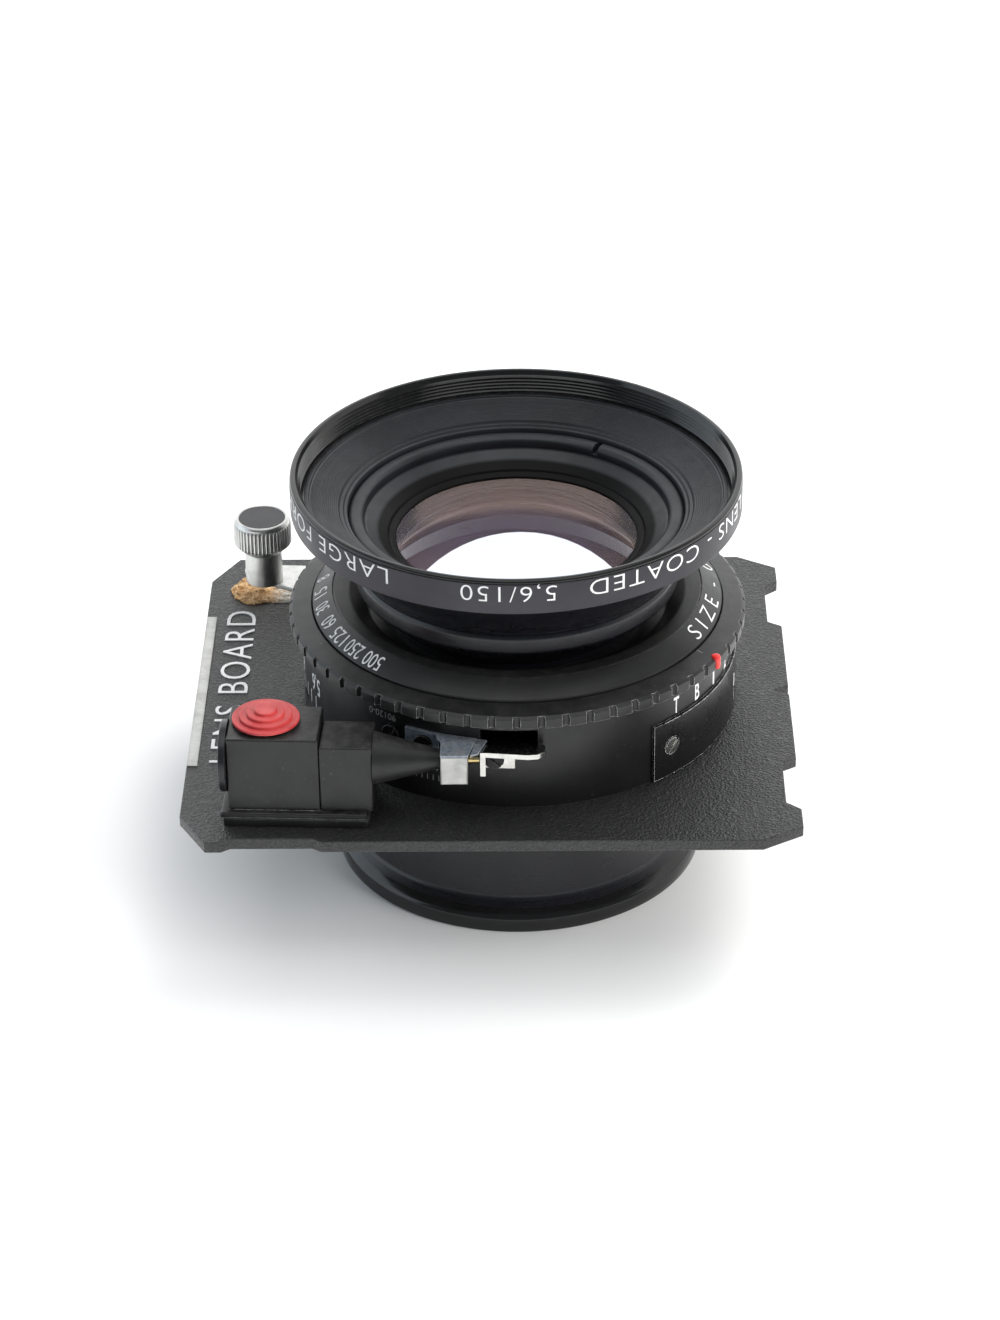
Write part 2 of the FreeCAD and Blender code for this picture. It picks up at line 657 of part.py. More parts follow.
def release_button():
    """The stepped button: a wide disc under three narrower steps, with a skirt and a stem."""
    steps = [(BUTTON_R, BUTTON_DISC_H, 13.3), (3.45, 13.3, 13.7), (2.47, 13.7, 14.1),
             (1.48, 14.1, 14.5)]
    body = cylinder(STEM_R, z_of(STEM_BOTTOM_H), z_of(BUTTON_FLOOR_H), BUTTON_X, BUTTON_Y)
    skirt = cylinder(BUTTON_SKIRT_R, z_of(BUTTON_FLOOR_H), z_of(BUTTON_DISC_H), BUTTON_X, BUTTON_Y)
    body = body.fuse(skirt)
    for radius, low, high in steps:
        step = cylinder(radius, z_of(low), z_of(high), BUTTON_X, BUTTON_Y)
        body = body.fuse(round_edges(step, 0.15, flat_at(z_of(high))))
    return turn_socket(body.removeSplitter())


def button_spring():
    """The coil under the button, made as a stack of linked wire rings."""
    radius = 3.1
    wire_r = 0.12
    levels = (10.88, 11.18, 11.47, 11.76)
    rings = [Part.makeTorus(radius, wire_r, vec(BUTTON_X, BUTTON_Y, z_of(h))) for h in levels]
    links = []
    for k in range(len(levels) - 1):
        spot = polar(radius, 120 * k)
        links.append(cylinder(0.1, z_of(levels[k]), z_of(levels[k + 1]), BUTTON_X + spot.x,
                              BUTTON_Y + spot.y))
    return turn_socket(rings[0].multiFuse(rings[1:] + links))


def cable_cone():
    """The tapered sleeve that carries the cable's core from the block to the shutter."""
    x_low = EXTENSION_X[1] + 0.02
    length = CUBE_X[0] - 0.05 - x_low
    sleeve = Part.makeCone(3.5, 1.25, length, vec(x_low, CABLE_Y, z_of(CABLE_H)), vec(1, 0, 0))
    return turn_socket(sleeve.cut(cable_bar(0.75, -40.0, -5.0)))


# ---- lens cells ---------------------------------------------------------------------------
FRONT_GLASS_R = 17.5
REAR_GLASS_R = 19.4
INNER_GLASS_R = 13.6


def front_barrel():
    """The front cell's mount, flaring from the shutter's thread to the name ring."""
    profile = [
        (LIGHT_R, z_of(8.4)),
        (CELL_THREAD_R - RUN, z_of(8.4)),
        (CELL_THREAD_R - RUN, z_of(13.6)),
        (16.9, z_of(13.6)),
        (17.05, z_of(14.6)),
        (18.2, z_of(15.4)),
        (21.4, z_of(18.5)),
        (21.7, z_of(18.9)),
        (21.7, z_of(20.9)),
        (21.4, z_of(21.3)),
        (21.1, z_of(21.4)),
        (21.5, z_of(22.1)),
        (28.1, z_of(29.2)),
        (28.1, z_of(31.3)),
        (27.5, z_of(31.3)),
        (23.3, z_of(29.3)),
        (23.3, z_of(28.8)),
        (22.4, z_of(28.6)),
        (22.4, z_of(26.0)),
        (FRONT_GLASS_R + RUN, z_of(24.2)),
        (FRONT_GLASS_R + RUN, z_of(15.0)),
        (INNER_GLASS_R + RUN, z_of(15.0)),
        (INNER_GLASS_R + RUN, z_of(8.85)),
        (LIGHT_R, z_of(8.85)),
    ]
    return turned(profile)


def name_ring():
    """The engraved ring with the filter thread and the rounded front rim."""
    low, high = (z_of(h) for h in NAME_RING_H)
    thread_low = high - 0.9 - FILTER_THREAD_LENGTH
    profile = [
        (28.12, low),
        (NAME_RING_R - 0.1, low),
        (NAME_RING_R, low + 0.1),
        (NAME_RING_R, high - 0.6),
        (NAME_RING_R - 0.18, high - 0.2),
        (NAME_RING_R - 0.6, high),
        (29.1, high - 0.05),
        (FILTER_THREAD_R, high - 0.9),
        (FILTER_THREAD_R, thread_low),
        (28.12, thread_low),
    ]
    return turned(profile)


def front_retaining_ring():
    """The threaded ring over the front glass: a rounded bead, a groove and a dark cone."""
    ring_body = turned([
        (FRONT_GLASS_R + 0.6, z_of(24.95)),
        (22.3, z_of(26.15)),
        (22.3, z_of(28.1)),
        (21.9, z_of(28.4)),
        (20.9, z_of(28.4)),
        (20.4, z_of(28.1)),
        (20.2, z_of(27.3)),
        (20.0, z_of(26.9)),
        (17.2, z_of(25.2)),
        (16.1, z_of(24.6)),
        (16.1, z_of(24.3)),
        (FRONT_GLASS_R - 0.2, z_of(24.3)),
    ])
    for side_deg in (58.3, 238.3):
        slot = box((18.0, 24.0), (-0.4, 0.4), (z_of(27.4), z_of(29)))
        slot.rotate(vec(0, 0, 0), vec(0, 0, 1), side_deg)
        ring_body = ring_body.cut(slot)
    return ring_body


def front_glasses():
    """The front cell's cemented pair and its inner meniscus."""
    outer = lens(FRONT_GLASS_R, z_of(27.0), 48.0, z_of(20.0), -80.0)
    cemented = lens(FRONT_GLASS_R, z_of(19.98), -80.0, z_of(18.6), 45.0)
    inner = lens(INNER_GLASS_R, z_of(14.6), 30.0, z_of(12.4), 28.0)
    return outer, cemented, inner


def front_inner_ring():
    return ring(INNER_GLASS_R, LIGHT_R + 0.2, z_of(11.9), z_of(13.2))


def rear_barrel():
    """The rear cell's mount, from the shutter's rear thread to the rounded rear rim."""
    neck_top = 22.9
    profile = [
        (LIGHT_R, neck_top),
        (CELL_THREAD_R - RUN, neck_top),
        (CELL_THREAD_R - RUN, 17.6),
        (20.6, 17.5),
        (23.0, 16.3),
        (23.0, 4.2),
        (24.4, 3.0),
        (REAR_RIM_R, REAR_RIM_LENGTH),
        (REAR_RIM_R, 0.0),
        (24.6, 0.0),
        (22.4, 1.2),
        (21.2, 4.4),
        (REAR_GLASS_R + RUN, 4.4),
        (REAR_GLASS_R + RUN, 14.1),
        (13.0, 14.1),
        (13.0, 17.5),
        (INNER_GLASS_R + RUN, 17.5),
        (INNER_GLASS_R + RUN, 22.4),
        (LIGHT_R, 22.4),
    ]
    return turned(profile)


def rear_retaining_ring():
    return turned([(18.3, 5.6), (REAR_GLASS_R, 5.95), (REAR_GLASS_R, 4.5), (18.9, 4.5)])


def rear_glasses():
    """The rear cell's inner meniscus and its cemented pair."""
    inner = lens(INNER_GLASS_R, 16.8, -28.0, 14.6, -30.0)
    cemented = lens(REAR_GLASS_R, 10.4, -55.0, 9.02, 120.0)
    outer = lens(REAR_GLASS_R, 9.0, 120.0, 2.6, -55.0)
    return inner, cemented, outer


def sync_terminal():
    """The coaxial flash terminal: a sleeve on a neck, with a pin down its middle."""
    neck = radial_cylinder(SYNC_NECK_R, SYNC_DEG, SYNC_H, 28.2, 29.2)
    sleeve = radial_cylinder(SYNC_R, SYNC_DEG, SYNC_H, 29.2, 34.0).fuse(neck)
    well = radial_cylinder(1.5, SYNC_DEG, SYNC_H, 29.6, 35.0)
    pin = radial_cylinder(0.5, SYNC_DEG, SYNC_H, 29.0, 33.2)
    return sleeve.cut(well).fuse(pin).removeSplitter()


# ---- build --------------------------------------------------------------------------------
def build():
    os.makedirs("parts", exist_ok=True)
    wheel, pinion = retard_gears()
    front_outer, front_cemented, front_inner = front_glasses()
    rear_inner, rear_cemented, rear_outer = rear_glasses()
    nodes = {
        "lens_board": lens_board(),
        "board_label": board_label(),
        "adhesive_patch": adhesive_patch(),
        "jam_nut": jam_nut(),
        "shutter_case": shutter_case(),
        "divider_plate": divider_plate(),
        "mechanism_plate": mechanism_plate(),
        "face_plate": face_plate(),
        "side_cover_plate": side_cover_plate(),
        "cover_screw": cover_screw(),
        "speed_ring": speed_ring(),
        "speed_index": index_bead(),
        "iris_ring": drive_ring(IRIS_RING_H),
        "iris_lever": iris_lever(),
        "knob_post": knob_post(),
        "knob_head": knob_head(),
        "knob_inlay": knob_inlay(),
        "blade_ring": drive_ring(BLADE_RING_H),
        "preview_lever": preview_lever(),
        "cocking_lever": cocking_lever(),
        "main_spring": main_spring(),
        "release_lever": release_lever(),
        "retard_gear": wheel,
        "retard_pinion": pinion,
        "release_bracket": release_bracket(),
        "release_socket": release_socket(),
        "transfer_pin": transfer_pin(),
        "lever_plate": lever_plate(),
        "bracket_screws": bracket_screws(),
        "sync_terminal": sync_terminal(),
        "socket_base_plate": socket_base_plate(),
        "socket_block": socket_block(),
        "socket_extension": socket_extension(),
        "socket_collar": socket_collar(),
        "release_button": release_button(),
        "button_spring": button_spring(),
        "latch_plate": latch_plate(),
        "cable_cone": cable_cone(),
        "front_barrel": front_barrel(),
        "name_ring": name_ring(),
        "front_retaining_ring": front_retaining_ring(),
        "front_inner_ring": front_inner_ring(),
        "front_glass_outer": front_outer,
        "front_glass_cemented": front_cemented,
        "front_glass_inner": front_inner,
        "rear_barrel": rear_barrel(),
        "rear_retaining_ring": rear_retaining_ring(),
        "rear_glass_inner": rear_inner,
        "rear_glass_cemented": rear_cemented,
        "rear_glass_outer": rear_outer,
    }
    for k in range(BLADE_COUNT):
        iris = blade(IRIS_PIVOT_R, 72 * k + 20, IRIS_BAND, 104, IRIS_BLADE_H + k * BLADE_PITCH)
        nodes["iris_blade_%d" % (k + 1)] = iris
        leaf = blade(SHUTTER_PIVOT_R, 72 * k, SHUTTER_BAND, 108, SHUTTER_BLADE_H + k * BLADE_PITCH)
        nodes["shutter_blade_%d" % (k + 1)] = leaf
    for name, shape in nodes.items():
        if not shape.isValid() or shape.Volume <= 0:
            raise ValueError("bad solid: " + name)
        save(name, shape)
    print(len(nodes), "nodes")


build()
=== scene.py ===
import math

import bmesh
import bpy
from mathutils import Matrix, Vector, noise


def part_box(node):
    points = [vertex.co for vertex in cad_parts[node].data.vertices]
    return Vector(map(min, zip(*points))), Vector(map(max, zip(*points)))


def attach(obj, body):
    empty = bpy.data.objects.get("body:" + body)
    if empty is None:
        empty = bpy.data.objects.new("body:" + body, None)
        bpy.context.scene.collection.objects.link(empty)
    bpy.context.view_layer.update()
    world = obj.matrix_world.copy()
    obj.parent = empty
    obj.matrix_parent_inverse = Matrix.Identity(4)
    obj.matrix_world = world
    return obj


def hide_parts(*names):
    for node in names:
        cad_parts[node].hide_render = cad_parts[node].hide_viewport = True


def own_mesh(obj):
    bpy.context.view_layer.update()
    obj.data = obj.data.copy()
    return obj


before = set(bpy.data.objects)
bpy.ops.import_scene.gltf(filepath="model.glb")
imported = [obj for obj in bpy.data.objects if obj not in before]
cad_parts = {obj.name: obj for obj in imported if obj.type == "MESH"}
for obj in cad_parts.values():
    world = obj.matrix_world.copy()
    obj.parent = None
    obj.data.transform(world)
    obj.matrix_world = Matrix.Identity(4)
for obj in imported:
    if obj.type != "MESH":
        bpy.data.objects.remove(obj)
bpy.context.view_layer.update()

# A view-camera lens in a leaf shutter on a lens board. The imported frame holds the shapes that
# move and fit; this script gives them their finishes and rebuilds the turned parts, the
# button's coil and the rough adhesive in finer meshes, and adds the lettering. Meshes are built
# in millimetres and scaled to metres when they become pieces. Heights named h are measured from
# the board's front face, and angles run anticlockwise from X when seen from the front.

MM = 0.001


def corner(node, axis, high=True):
    """One coordinate of a CAD node's box, in millimetres."""
    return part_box(node)[1 if high else 0][axis] / MM


BOARD_FRONT = corner("lens_board", 2)
NAME_R = corner("name_ring", 0)
NAME_TOP = corner("name_ring", 2) - BOARD_FRONT
NAME_LOW = corner("name_ring", 2, False) - BOARD_FRONT
SPEED_R = corner("speed_ring", 0)
SPEED_TOP = corner("speed_ring", 2) - BOARD_FRONT
SPEED_LOW = corner("speed_ring", 2, False) - BOARD_FRONT
CASE_R = corner("shutter_case", 0)
FACE_TOP = corner("face_plate", 2) - BOARD_FRONT
FACE_R = corner("face_plate", 0)
FACE_FOOT = 15.3
FACE_INNER_R = 24.9
FACE_SLOPE = math.atan2(FACE_TOP - FACE_FOOT, FACE_R - FACE_INNER_R)
COVER_R = corner("side_cover_plate", 0)
REAR_R = corner("rear_barrel", 0)
KNOB_X = (corner("knob_head", 0) + corner("knob_head", 0, False)) / 2
KNOB_Y = (corner("knob_head", 1) + corner("knob_head", 1, False)) / 2
KNOB_R = (corner("knob_head", 0) - corner("knob_head", 0, False)) / 2
KNOB_TOP = corner("knob_head", 2)
KNOB_LOW = corner("knob_head", 2, False)


# ---- camera, floor and light --------------------------------------------------------------
CAMERA_PLACE = (3.22, -458.53, 301.7)
CAMERA_DOWN = 30.862
CAMERA_YAW = -0.704
CAMERA_ROLL = -0.695
CAMERA_LENS = 107.05


def make_camera():
    data = bpy.data.cameras.new("camera")
    data.sensor_width = 36.0
    data.lens = CAMERA_LENS
    data.clip_start = 0.01
    data.clip_end = 20.0
    camera = bpy.data.objects.new("camera", data)
    bpy.context.scene.collection.objects.link(camera)
    yaw, down, roll = (math.radians(a) for a in (CAMERA_YAW, CAMERA_DOWN, CAMERA_ROLL))
    level_ahead = Vector((math.sin(yaw), math.cos(yaw), 0.0))
    level_right = Vector((math.cos(yaw), -math.sin(yaw), 0.0))
    ahead = level_ahead * math.cos(down) - Vector((0, 0, 1)) * math.sin(down)
    level_up = level_right.cross(ahead)
    right = level_right * math.cos(roll) + level_up * math.sin(roll)
    up = level_up * math.cos(roll) - level_right * math.sin(roll)
    turn = Matrix((right, up, -ahead)).transposed().to_4x4()
    camera.matrix_world = Matrix.Translation(Vector(CAMERA_PLACE) * MM) @ turn
    bpy.context.scene.camera = camera


def area_light(name, place, size, power, tint, aim=(0.0, 0.0, 0.03), mirrored=True):
    """A rectangular lamp; a lamp that is not mirrored leaves no image in shiny surfaces."""
    data = bpy.data.lights.new(name, "AREA")
    data.shape = "RECTANGLE"
    data.size, data.size_y = size
    data.energy = power
    data.color = tint
    light = bpy.data.objects.new(name, data)
    bpy.context.scene.collection.objects.link(light)
    light.location = place
    light.rotation_mode = "QUATERNION"
    light.rotation_quaternion = (Vector(aim) - Vector(place)).to_track_quat("-Z", "Y")
    light.visible_glossy = mirrored


def make_lights():
    scene = bpy.context.scene
    scene.view_settings.view_transform = "Standard"
    world = bpy.data.worlds.new("studio")
    scene.world = world
    world.use_nodes = True
    back = world.node_tree.nodes["Background"]
    back.inputs["Color"].default_value = (0.86, 0.93, 1.0, 1.0)
    back.inputs["Strength"].default_value = 0.2
    area_light("key_softbox", (0.42, 0.45, 0.95), (0.8, 0.7), 9.0, (1.0, 0.985, 0.96),
               mirrored=False)
    area_light("front_fill", (1.1, -0.6, 0.62), (0.8, 0.5), 18.0, (1.0, 0.995, 0.97),
               mirrored=False)
    area_light("back_wall", (0.0, 1.5, 0.8), (3.4, 1.8), 26.0, (1.0, 1.0, 1.0), (0, 0, 0.1))
    area_light("left_wall", (-1.25, 0.1, 0.5), (1.7, 1.0), 7.0, (0.8, 0.91, 1.0))
    area_light("right_wall", (1.35, 0.35, 0.5), (1.5, 0.8), 3.4, (1.0, 0.98, 0.95))
    area_light("top_panel", (0.0, -0.15, 1.4), (1.6, 1.2), 8.5, (1.0, 1.0, 1.0))


# ---- node materials -----------------------------------------------------------------------
FINISHES = {}


class Paint:
    """A node tree under construction. Its coordinates are the object's own, in millimetres."""

    def __init__(self, name):
        self.name = name
        self.material = bpy.data.materials.new(name)
        self.material.use_nodes = True
        self.tree = self.material.node_tree
        self.tree.nodes.clear()
        place = self.add("TexCoord").outputs["Object"]
        self.place = self.add("VectorMath", {0: place, 3: 1 / MM}, operation="SCALE").outputs[0]

    def add(self, kind, inputs=(), **settings):
        made = self.tree.nodes.new("ShaderNode" + kind)
        for key, value in settings.items():
            setattr(made, key, value)
        for key, value in dict(inputs).items():
            if isinstance(value, bpy.types.NodeSocket):
                self.tree.links.new(value, made.inputs[key])
            else:
                made.inputs[key].default_value = value
        return made

    def calc(self, operation, a, b=0.0):
        return self.add("Math", {0: a, 1: b}, operation=operation).outputs[0]

    def noise(self, scale, detail=3.0, rough=0.55, where=None):
        """Cloudy noise with features about 1/scale millimetres wide."""
        inputs = {"Vector": where or self.place, "Scale": scale, "Detail": detail,
                  "Roughness": rough}
        return self.add("TexNoise", inputs).outputs["Fac"]

    def cells(self, scale):
        inputs = {"Vector": self.place, "Scale": scale}
        return self.add("TexVoronoi", inputs).outputs["Distance"]

    def between(self, value, low, high, out_low=0.0, out_high=1.0):
        """A value's place from low to high, spread from out_low to out_high and held there."""
        inputs = {"Value": value, "From Min": low, "From Max": high, "To Min": out_low,
                  "To Max": out_high}
        return self.add("MapRange", inputs, clamp=True).outputs[0]

    def blend(self, share, a, b):
        made = self.add("Mix", {0: share}, data_type="RGBA")
        for socket, value in ((made.inputs[6], a), (made.inputs[7], b)):
            if isinstance(value, bpy.types.NodeSocket):
                self.tree.links.new(value, socket)
            else:
                socket.default_value = colour(value)
        return made.outputs[2]

    def split(self, vector):
        return self.add("SeparateXYZ", {0: vector}).outputs

    def radius(self, centre_y=0.0):
        """The distance from an upright axis through x = 0."""
        x, y, z = self.split(self.place)
        along = self.calc("SUBTRACT", y, centre_y)
        squares = self.calc("ADD", self.calc("MULTIPLY", x, x),
                            self.calc("MULTIPLY", along, along))
        return self.calc("SQRT", squares)

    def rings(self, pitch):
        """Lathe marks: noise that only changes with the distance from the lens's axis and Z."""
        height = self.split(self.place)[2]
        where = self.add("CombineXYZ", {0: self.radius(), 1: height}).outputs[0]
        return self.noise(1.0 / pitch, 2.0, 0.6, where)

    def edges(self, width):
        """1 along sharp convex and concave edges, 0 on open faces."""
        soft = self.add("Bevel", {"Radius": width * MM}, samples=4).outputs[0]
        hard = self.add("NewGeometry").outputs["Normal"]
        facing = self.add("VectorMath", {0: soft, 1: hard}, operation="DOT_PRODUCT").outputs[1]
        return self.between(self.calc("SUBTRACT", 1.0, facing), 0.02, 0.25)

    def facing_up(self):
        """1 on level faces, 0 on those steeper than 60 degrees."""
        normal = self.add("NewGeometry").outputs["Normal"]
        return self.between(self.split(normal)[2], 0.5, 0.95)

    def bump(self, height, strength, distance, under=None):
        inputs = {"Height": height, "Strength": strength, "Distance": distance * MM}
        if under is not None:
            inputs["Normal"] = under
        return self.add("Bump", inputs).outputs[0]

    def close(self, shader):
        """Ends the tree in a shader, and files the material under its name in FINISHES."""
        output = self.add("OutputMaterial")
        self.tree.links.new(shader.outputs[0], output.inputs["Surface"])
        FINISHES[self.name] = self.material
        return self.material


def colour(value):
    """A grey level or a red, green, blue triple as four numbers."""
    if isinstance(value, (int, float)):
        value = (value, value, value)
    return (*value, 1.0)


LATHE_DEPTH = 0.03
SPECK_GREY = 0.35
DUST_TONE = (0.34, 0.33, 0.31)


def finish(name, dark, light, rough, metal=0.0, cloud=0.25, grain=None, lathe=None, wear_and_highlight=None,
           dust=0.0, specks=0.0):
    """A surface that wanders between two colours and two roughnesses.

    cloud is the scale of the wandering, grain is (scale, strength) of a fine bump, lathe is
    (pitch, strength) of turning marks, wear is (colour, width, share) of edges lightened by
    rubbing and by painted highlight lines, dust and specks are shares.
    """
    paint = Paint(name)
    wander = paint.between(paint.noise(cloud, 4.0), 0.35, 0.68)
    base = paint.blend(wander, dark, light)
    smear = paint.between(paint.noise(cloud * 3.1, 5.0, 0.65), 0.3, 0.72, rough[0], rough[1])
    normal = None
    if lathe:
        pitch, strength = lathe
        marks = paint.rings(pitch)
        normal = paint.bump(marks, strength, LATHE_DEPTH)
        smear = paint.calc("ADD", smear, paint.between(marks, 0.3, 0.7, -0.05, 0.05))
    if grain:
        scale, strength = grain
        fine = paint.noise(scale, 3.0, 0.6)
        normal = paint.bump(fine, strength, 0.6 / scale, normal)
        base = paint.blend(paint.between(fine, 0.52, 0.75, 0.0, 0.5), base, light)
    if specks:
        spot = paint.between(paint.noise(1.7, 2.0, 0.8), 0.69, 0.73, 0.0, specks)
        base = paint.blend(spot, base, SPECK_GREY)
    if dust:
        settled = paint.calc("MULTIPLY", paint.facing_up(), paint.noise(0.6, 6.0, 0.75))
        share = paint.between(settled, 0.42, 0.75, 0.0, dust)
        base = paint.blend(share, base, DUST_TONE)
        smear = paint.calc("ADD", smear, paint.calc("MULTIPLY", share, 0.6))
    # Lightened edges: rubbed wear everywhere, and on the dial, speed ring, cover plate, bracket
    # and bracket screws also painted highlight lines along the edges.
    if wear_and_highlight:
        worn, width, share = wear_and_highlight
        rubbed = paint.edges(width)
        patchy = paint.between(paint.noise(0.9, 5.0, 0.7), 0.38, 0.6)
        amount = paint.calc("MULTIPLY", paint.calc("MULTIPLY", rubbed, patchy), share)
        base = paint.blend(amount, base, worn)
    inputs = {"Base Color": base, "Roughness": smear, "Metallic": metal}
    if normal is not None:
        inputs["Normal"] = normal
    paint.close(paint.add("BsdfPrincipled", inputs))


def crinkle_coat():
    """Baked crinkle paint: close-set pimples with painted glints lightening their tops, and bare
    metal rubbed through at the edges.
    """
    paint = Paint("board_crinkle")
    pimples = paint.noise(2.4, 4.0, 0.62)
    pits = paint.cells(3.0)
    height = paint.calc("ADD", pimples, paint.calc("MULTIPLY", pits, 0.55))
    tops = paint.between(height, 0.72, 1.0)
    cloud = paint.between(paint.noise(0.08, 5.0), 0.35, 0.65)
    base = paint.blend(cloud, 0.007, 0.012)
    # Painted glints: the pimples' tops are lighter.
    base = paint.blend(paint.calc("MULTIPLY", tops, 0.45), base, 0.03)
    settled = paint.between(paint.noise(0.5, 7.0, 0.8), 0.58, 0.8, 0.0, 0.08)
    base = paint.blend(settled, base, (0.25, 0.24, 0.22))
    patchy = paint.between(paint.noise(0.7, 5.0, 0.7), 0.36, 0.6)
    rubbed = paint.calc("MULTIPLY", paint.edges(0.22), patchy)
    base = paint.blend(paint.calc("MULTIPLY", rubbed, 0.75), base, 0.32)
    rough = paint.between(height, 0.6, 1.1, 0.5, 0.28)
    normal = paint.bump(height, 1.0, 0.17)
    inputs = {"Base Color": base, "Roughness": rough, "Normal": normal,
              "Specular IOR Level": 0.75}
    paint.close(paint.add("BsdfPrincipled", inputs))


# Inside this radius the dish carries painted shade.
PAINTED_SHADE_R = 18.3
INNER_DARK = (0.006, 0.0065, 0.008)
INNER_LIGHT = (0.011, 0.012, 0.015)


def dish_black_painted_shade():
    """Matt black round the front glass, with painted shade next to the glass: almost black there,
    with little specular.
    """
    paint = Paint("dish_black_painted_shade")
    unshaded_share = paint.between(paint.radius(), PAINTED_SHADE_R, PAINTED_SHADE_R + 0.5)
    cloud = paint.between(paint.noise(0.12, 4.0), 0.35, 0.68)
    base = paint.blend(cloud, INNER_DARK, INNER_LIGHT)
    # Painted shade: next to the glass the colour drops to almost black and the specular is cut
    # back.
    base = paint.blend(unshaded_share, 0.003, base)
    specular = paint.between(unshaded_share, 0.0, 1.0, 0.1, 0.5)
    rough = paint.between(paint.noise(0.5, 5.0, 0.65), 0.3, 0.72, 0.36, 0.48)
    normal = paint.bump(paint.rings(0.14), 0.25, LATHE_DEPTH)
    inputs = {"Base Color": base, "Roughness": rough, "Normal": normal,
              "Specular IOR Level": specular}
    paint.close(paint.add("BsdfPrincipled", inputs))


def white_paint(name, tone=0.8, worn=0.35):
    """Filled lettering: white paint, thin in places."""
    paint = Paint(name)
    thin = paint.between(paint.noise(1.6, 5.0, 0.7), 0.52, 0.7, 0.0, worn)
    base = paint.blend(thin, tone, tone * 0.35)
    normal = paint.bump(paint.noise(6.0), 0.2, 0.05)
    inputs = {"Base Color": base, "Roughness": 0.5, "Normal": normal}
    paint.close(paint.add("BsdfPrincipled", inputs))


def paper_label():
    paint = Paint("paper_label")
    stain = paint.between(paint.noise(0.35, 6.0, 0.7), 0.4, 0.72)
    base = paint.blend(stain, (0.64, 0.64, 0.62), (0.42, 0.41, 0.38))
    rim = paint.calc("MULTIPLY", paint.edges(0.5), 0.5)
    base = paint.blend(rim, base, (0.2, 0.19, 0.17))
    normal = paint.bump(paint.noise(4.0), 0.35, 0.08)
    inputs = {"Base Color": base, "Roughness": 0.7, "Normal": normal}
    paint.close(paint.add("BsdfPrincipled", inputs))


def old_adhesive():
    """Crumbled amber glue, whiter in patches right of the knob."""
    paint = Paint("old_adhesive")
    crumbs = paint.noise(1.8, 6.0, 0.72)
    base = paint.blend(paint.between(crumbs, 0.35, 0.66), (0.52, 0.25, 0.08), (0.92, 0.66, 0.36))
    dirt = paint.between(paint.cells(1.6), 0.12, 0.3, 0.8, 0.0)
    base = paint.blend(dirt, base, (0.09, 0.045, 0.02))
    x = paint.split(paint.place)[0]
    pale_patch = paint.calc("MULTIPLY", paint.between(x, KNOB_X + 0.6, KNOB_X + 2.4),
                      paint.between(paint.noise(0.7, 5.0, 0.7), 0.36, 0.5))
    base = paint.blend(pale_patch, base, (0.78, 0.76, 0.7))
    normal = paint.bump(crumbs, 0.8, 0.35)
    inputs = {"Base Color": base, "Roughness": 0.55, "Normal": normal}
    paint.close(paint.add("BsdfPrincipled", inputs))


def coated_glass(name, tint, share, index=None, painted_reflection_gap=None):
    """Clear glass whose coating throws back a tinted share of the light.

    With an index above 1 the light bends where it enters and runs straight on where it
    leaves, as it does through cemented elements. Otherwise it goes straight through.
    band is (centre_y, radius) of a circle, placed where the open lens shows through, inside which
    the reflection is painted weaker.
    """
    paint = Paint(name)
    # Painted: the reflection is weakened inside a circle fixed on the glass, where the bright
    # opening shows through.
    if painted_reflection_gap:
        centre_y, edge = painted_reflection_gap
        away = paint.radius(centre_y)
        share = paint.between(away, edge - 1.2, edge + 0.6, share * 0.25, share)
    tone = paint.blend(paint.noise(0.25, 4.0), (0.97, 0.98, 1.0), (1.0, 1.0, 1.0))
    clear = paint.add("BsdfTransparent", {"Color": tone}).outputs[0]
    if index:
        bent = paint.add("BsdfRefraction", {"Color": tone, "Roughness": 0.0, "IOR": index})
        leaving = paint.add("NewGeometry").outputs["Backfacing"]
        straight = clear if index > 1.0 else bent.outputs[0]
        clear = paint.add("MixShader", {0: leaving, 1: bent.outputs[0], 2: straight}).outputs[0]
    haze = paint.between(paint.noise(0.12, 3.0), 0.35, 0.65, 0.13, 0.17)
    gloss = paint.add("BsdfGlossy", {"Color": colour(tint), "Roughness": haze})
    paint.close(paint.add("MixShader", {0: share, 1: clear, 2: gloss.outputs[0]}))


def painted_glow_disc():
    """Painted light: a glowing disc under the open lens, standing in for the bright floor seen
    through the glass.
    """
    paint = Paint("painted_glow_disc")
    cloud = paint.between(paint.noise(0.03, 2.0), 0.3, 0.7)
    shade = paint.blend(cloud, (1.0, 0.985, 0.94), (1.0, 0.995, 0.97))
    return paint.close(paint.add("Emission", {"Color": shade, "Strength": 1.3}))


def floor_paper():
    paint = Paint("floor_paper")
    cloud = paint.between(paint.noise(0.004, 3.0), 0.3, 0.7)
    base = paint.blend(cloud, 0.86, 0.9)
    normal = paint.bump(paint.noise(1.2), 0.05, 0.1)
    inputs = {"Base Color": base, "Roughness": 0.6, "Normal": normal,
              "Specular IOR Level": 0.2}
    return paint.close(paint.add("BsdfPrincipled", inputs))


ANODISED_DARK = (0.005, 0.005, 0.007)
ANODISED_LIGHT = (0.009, 0.009, 0.012)


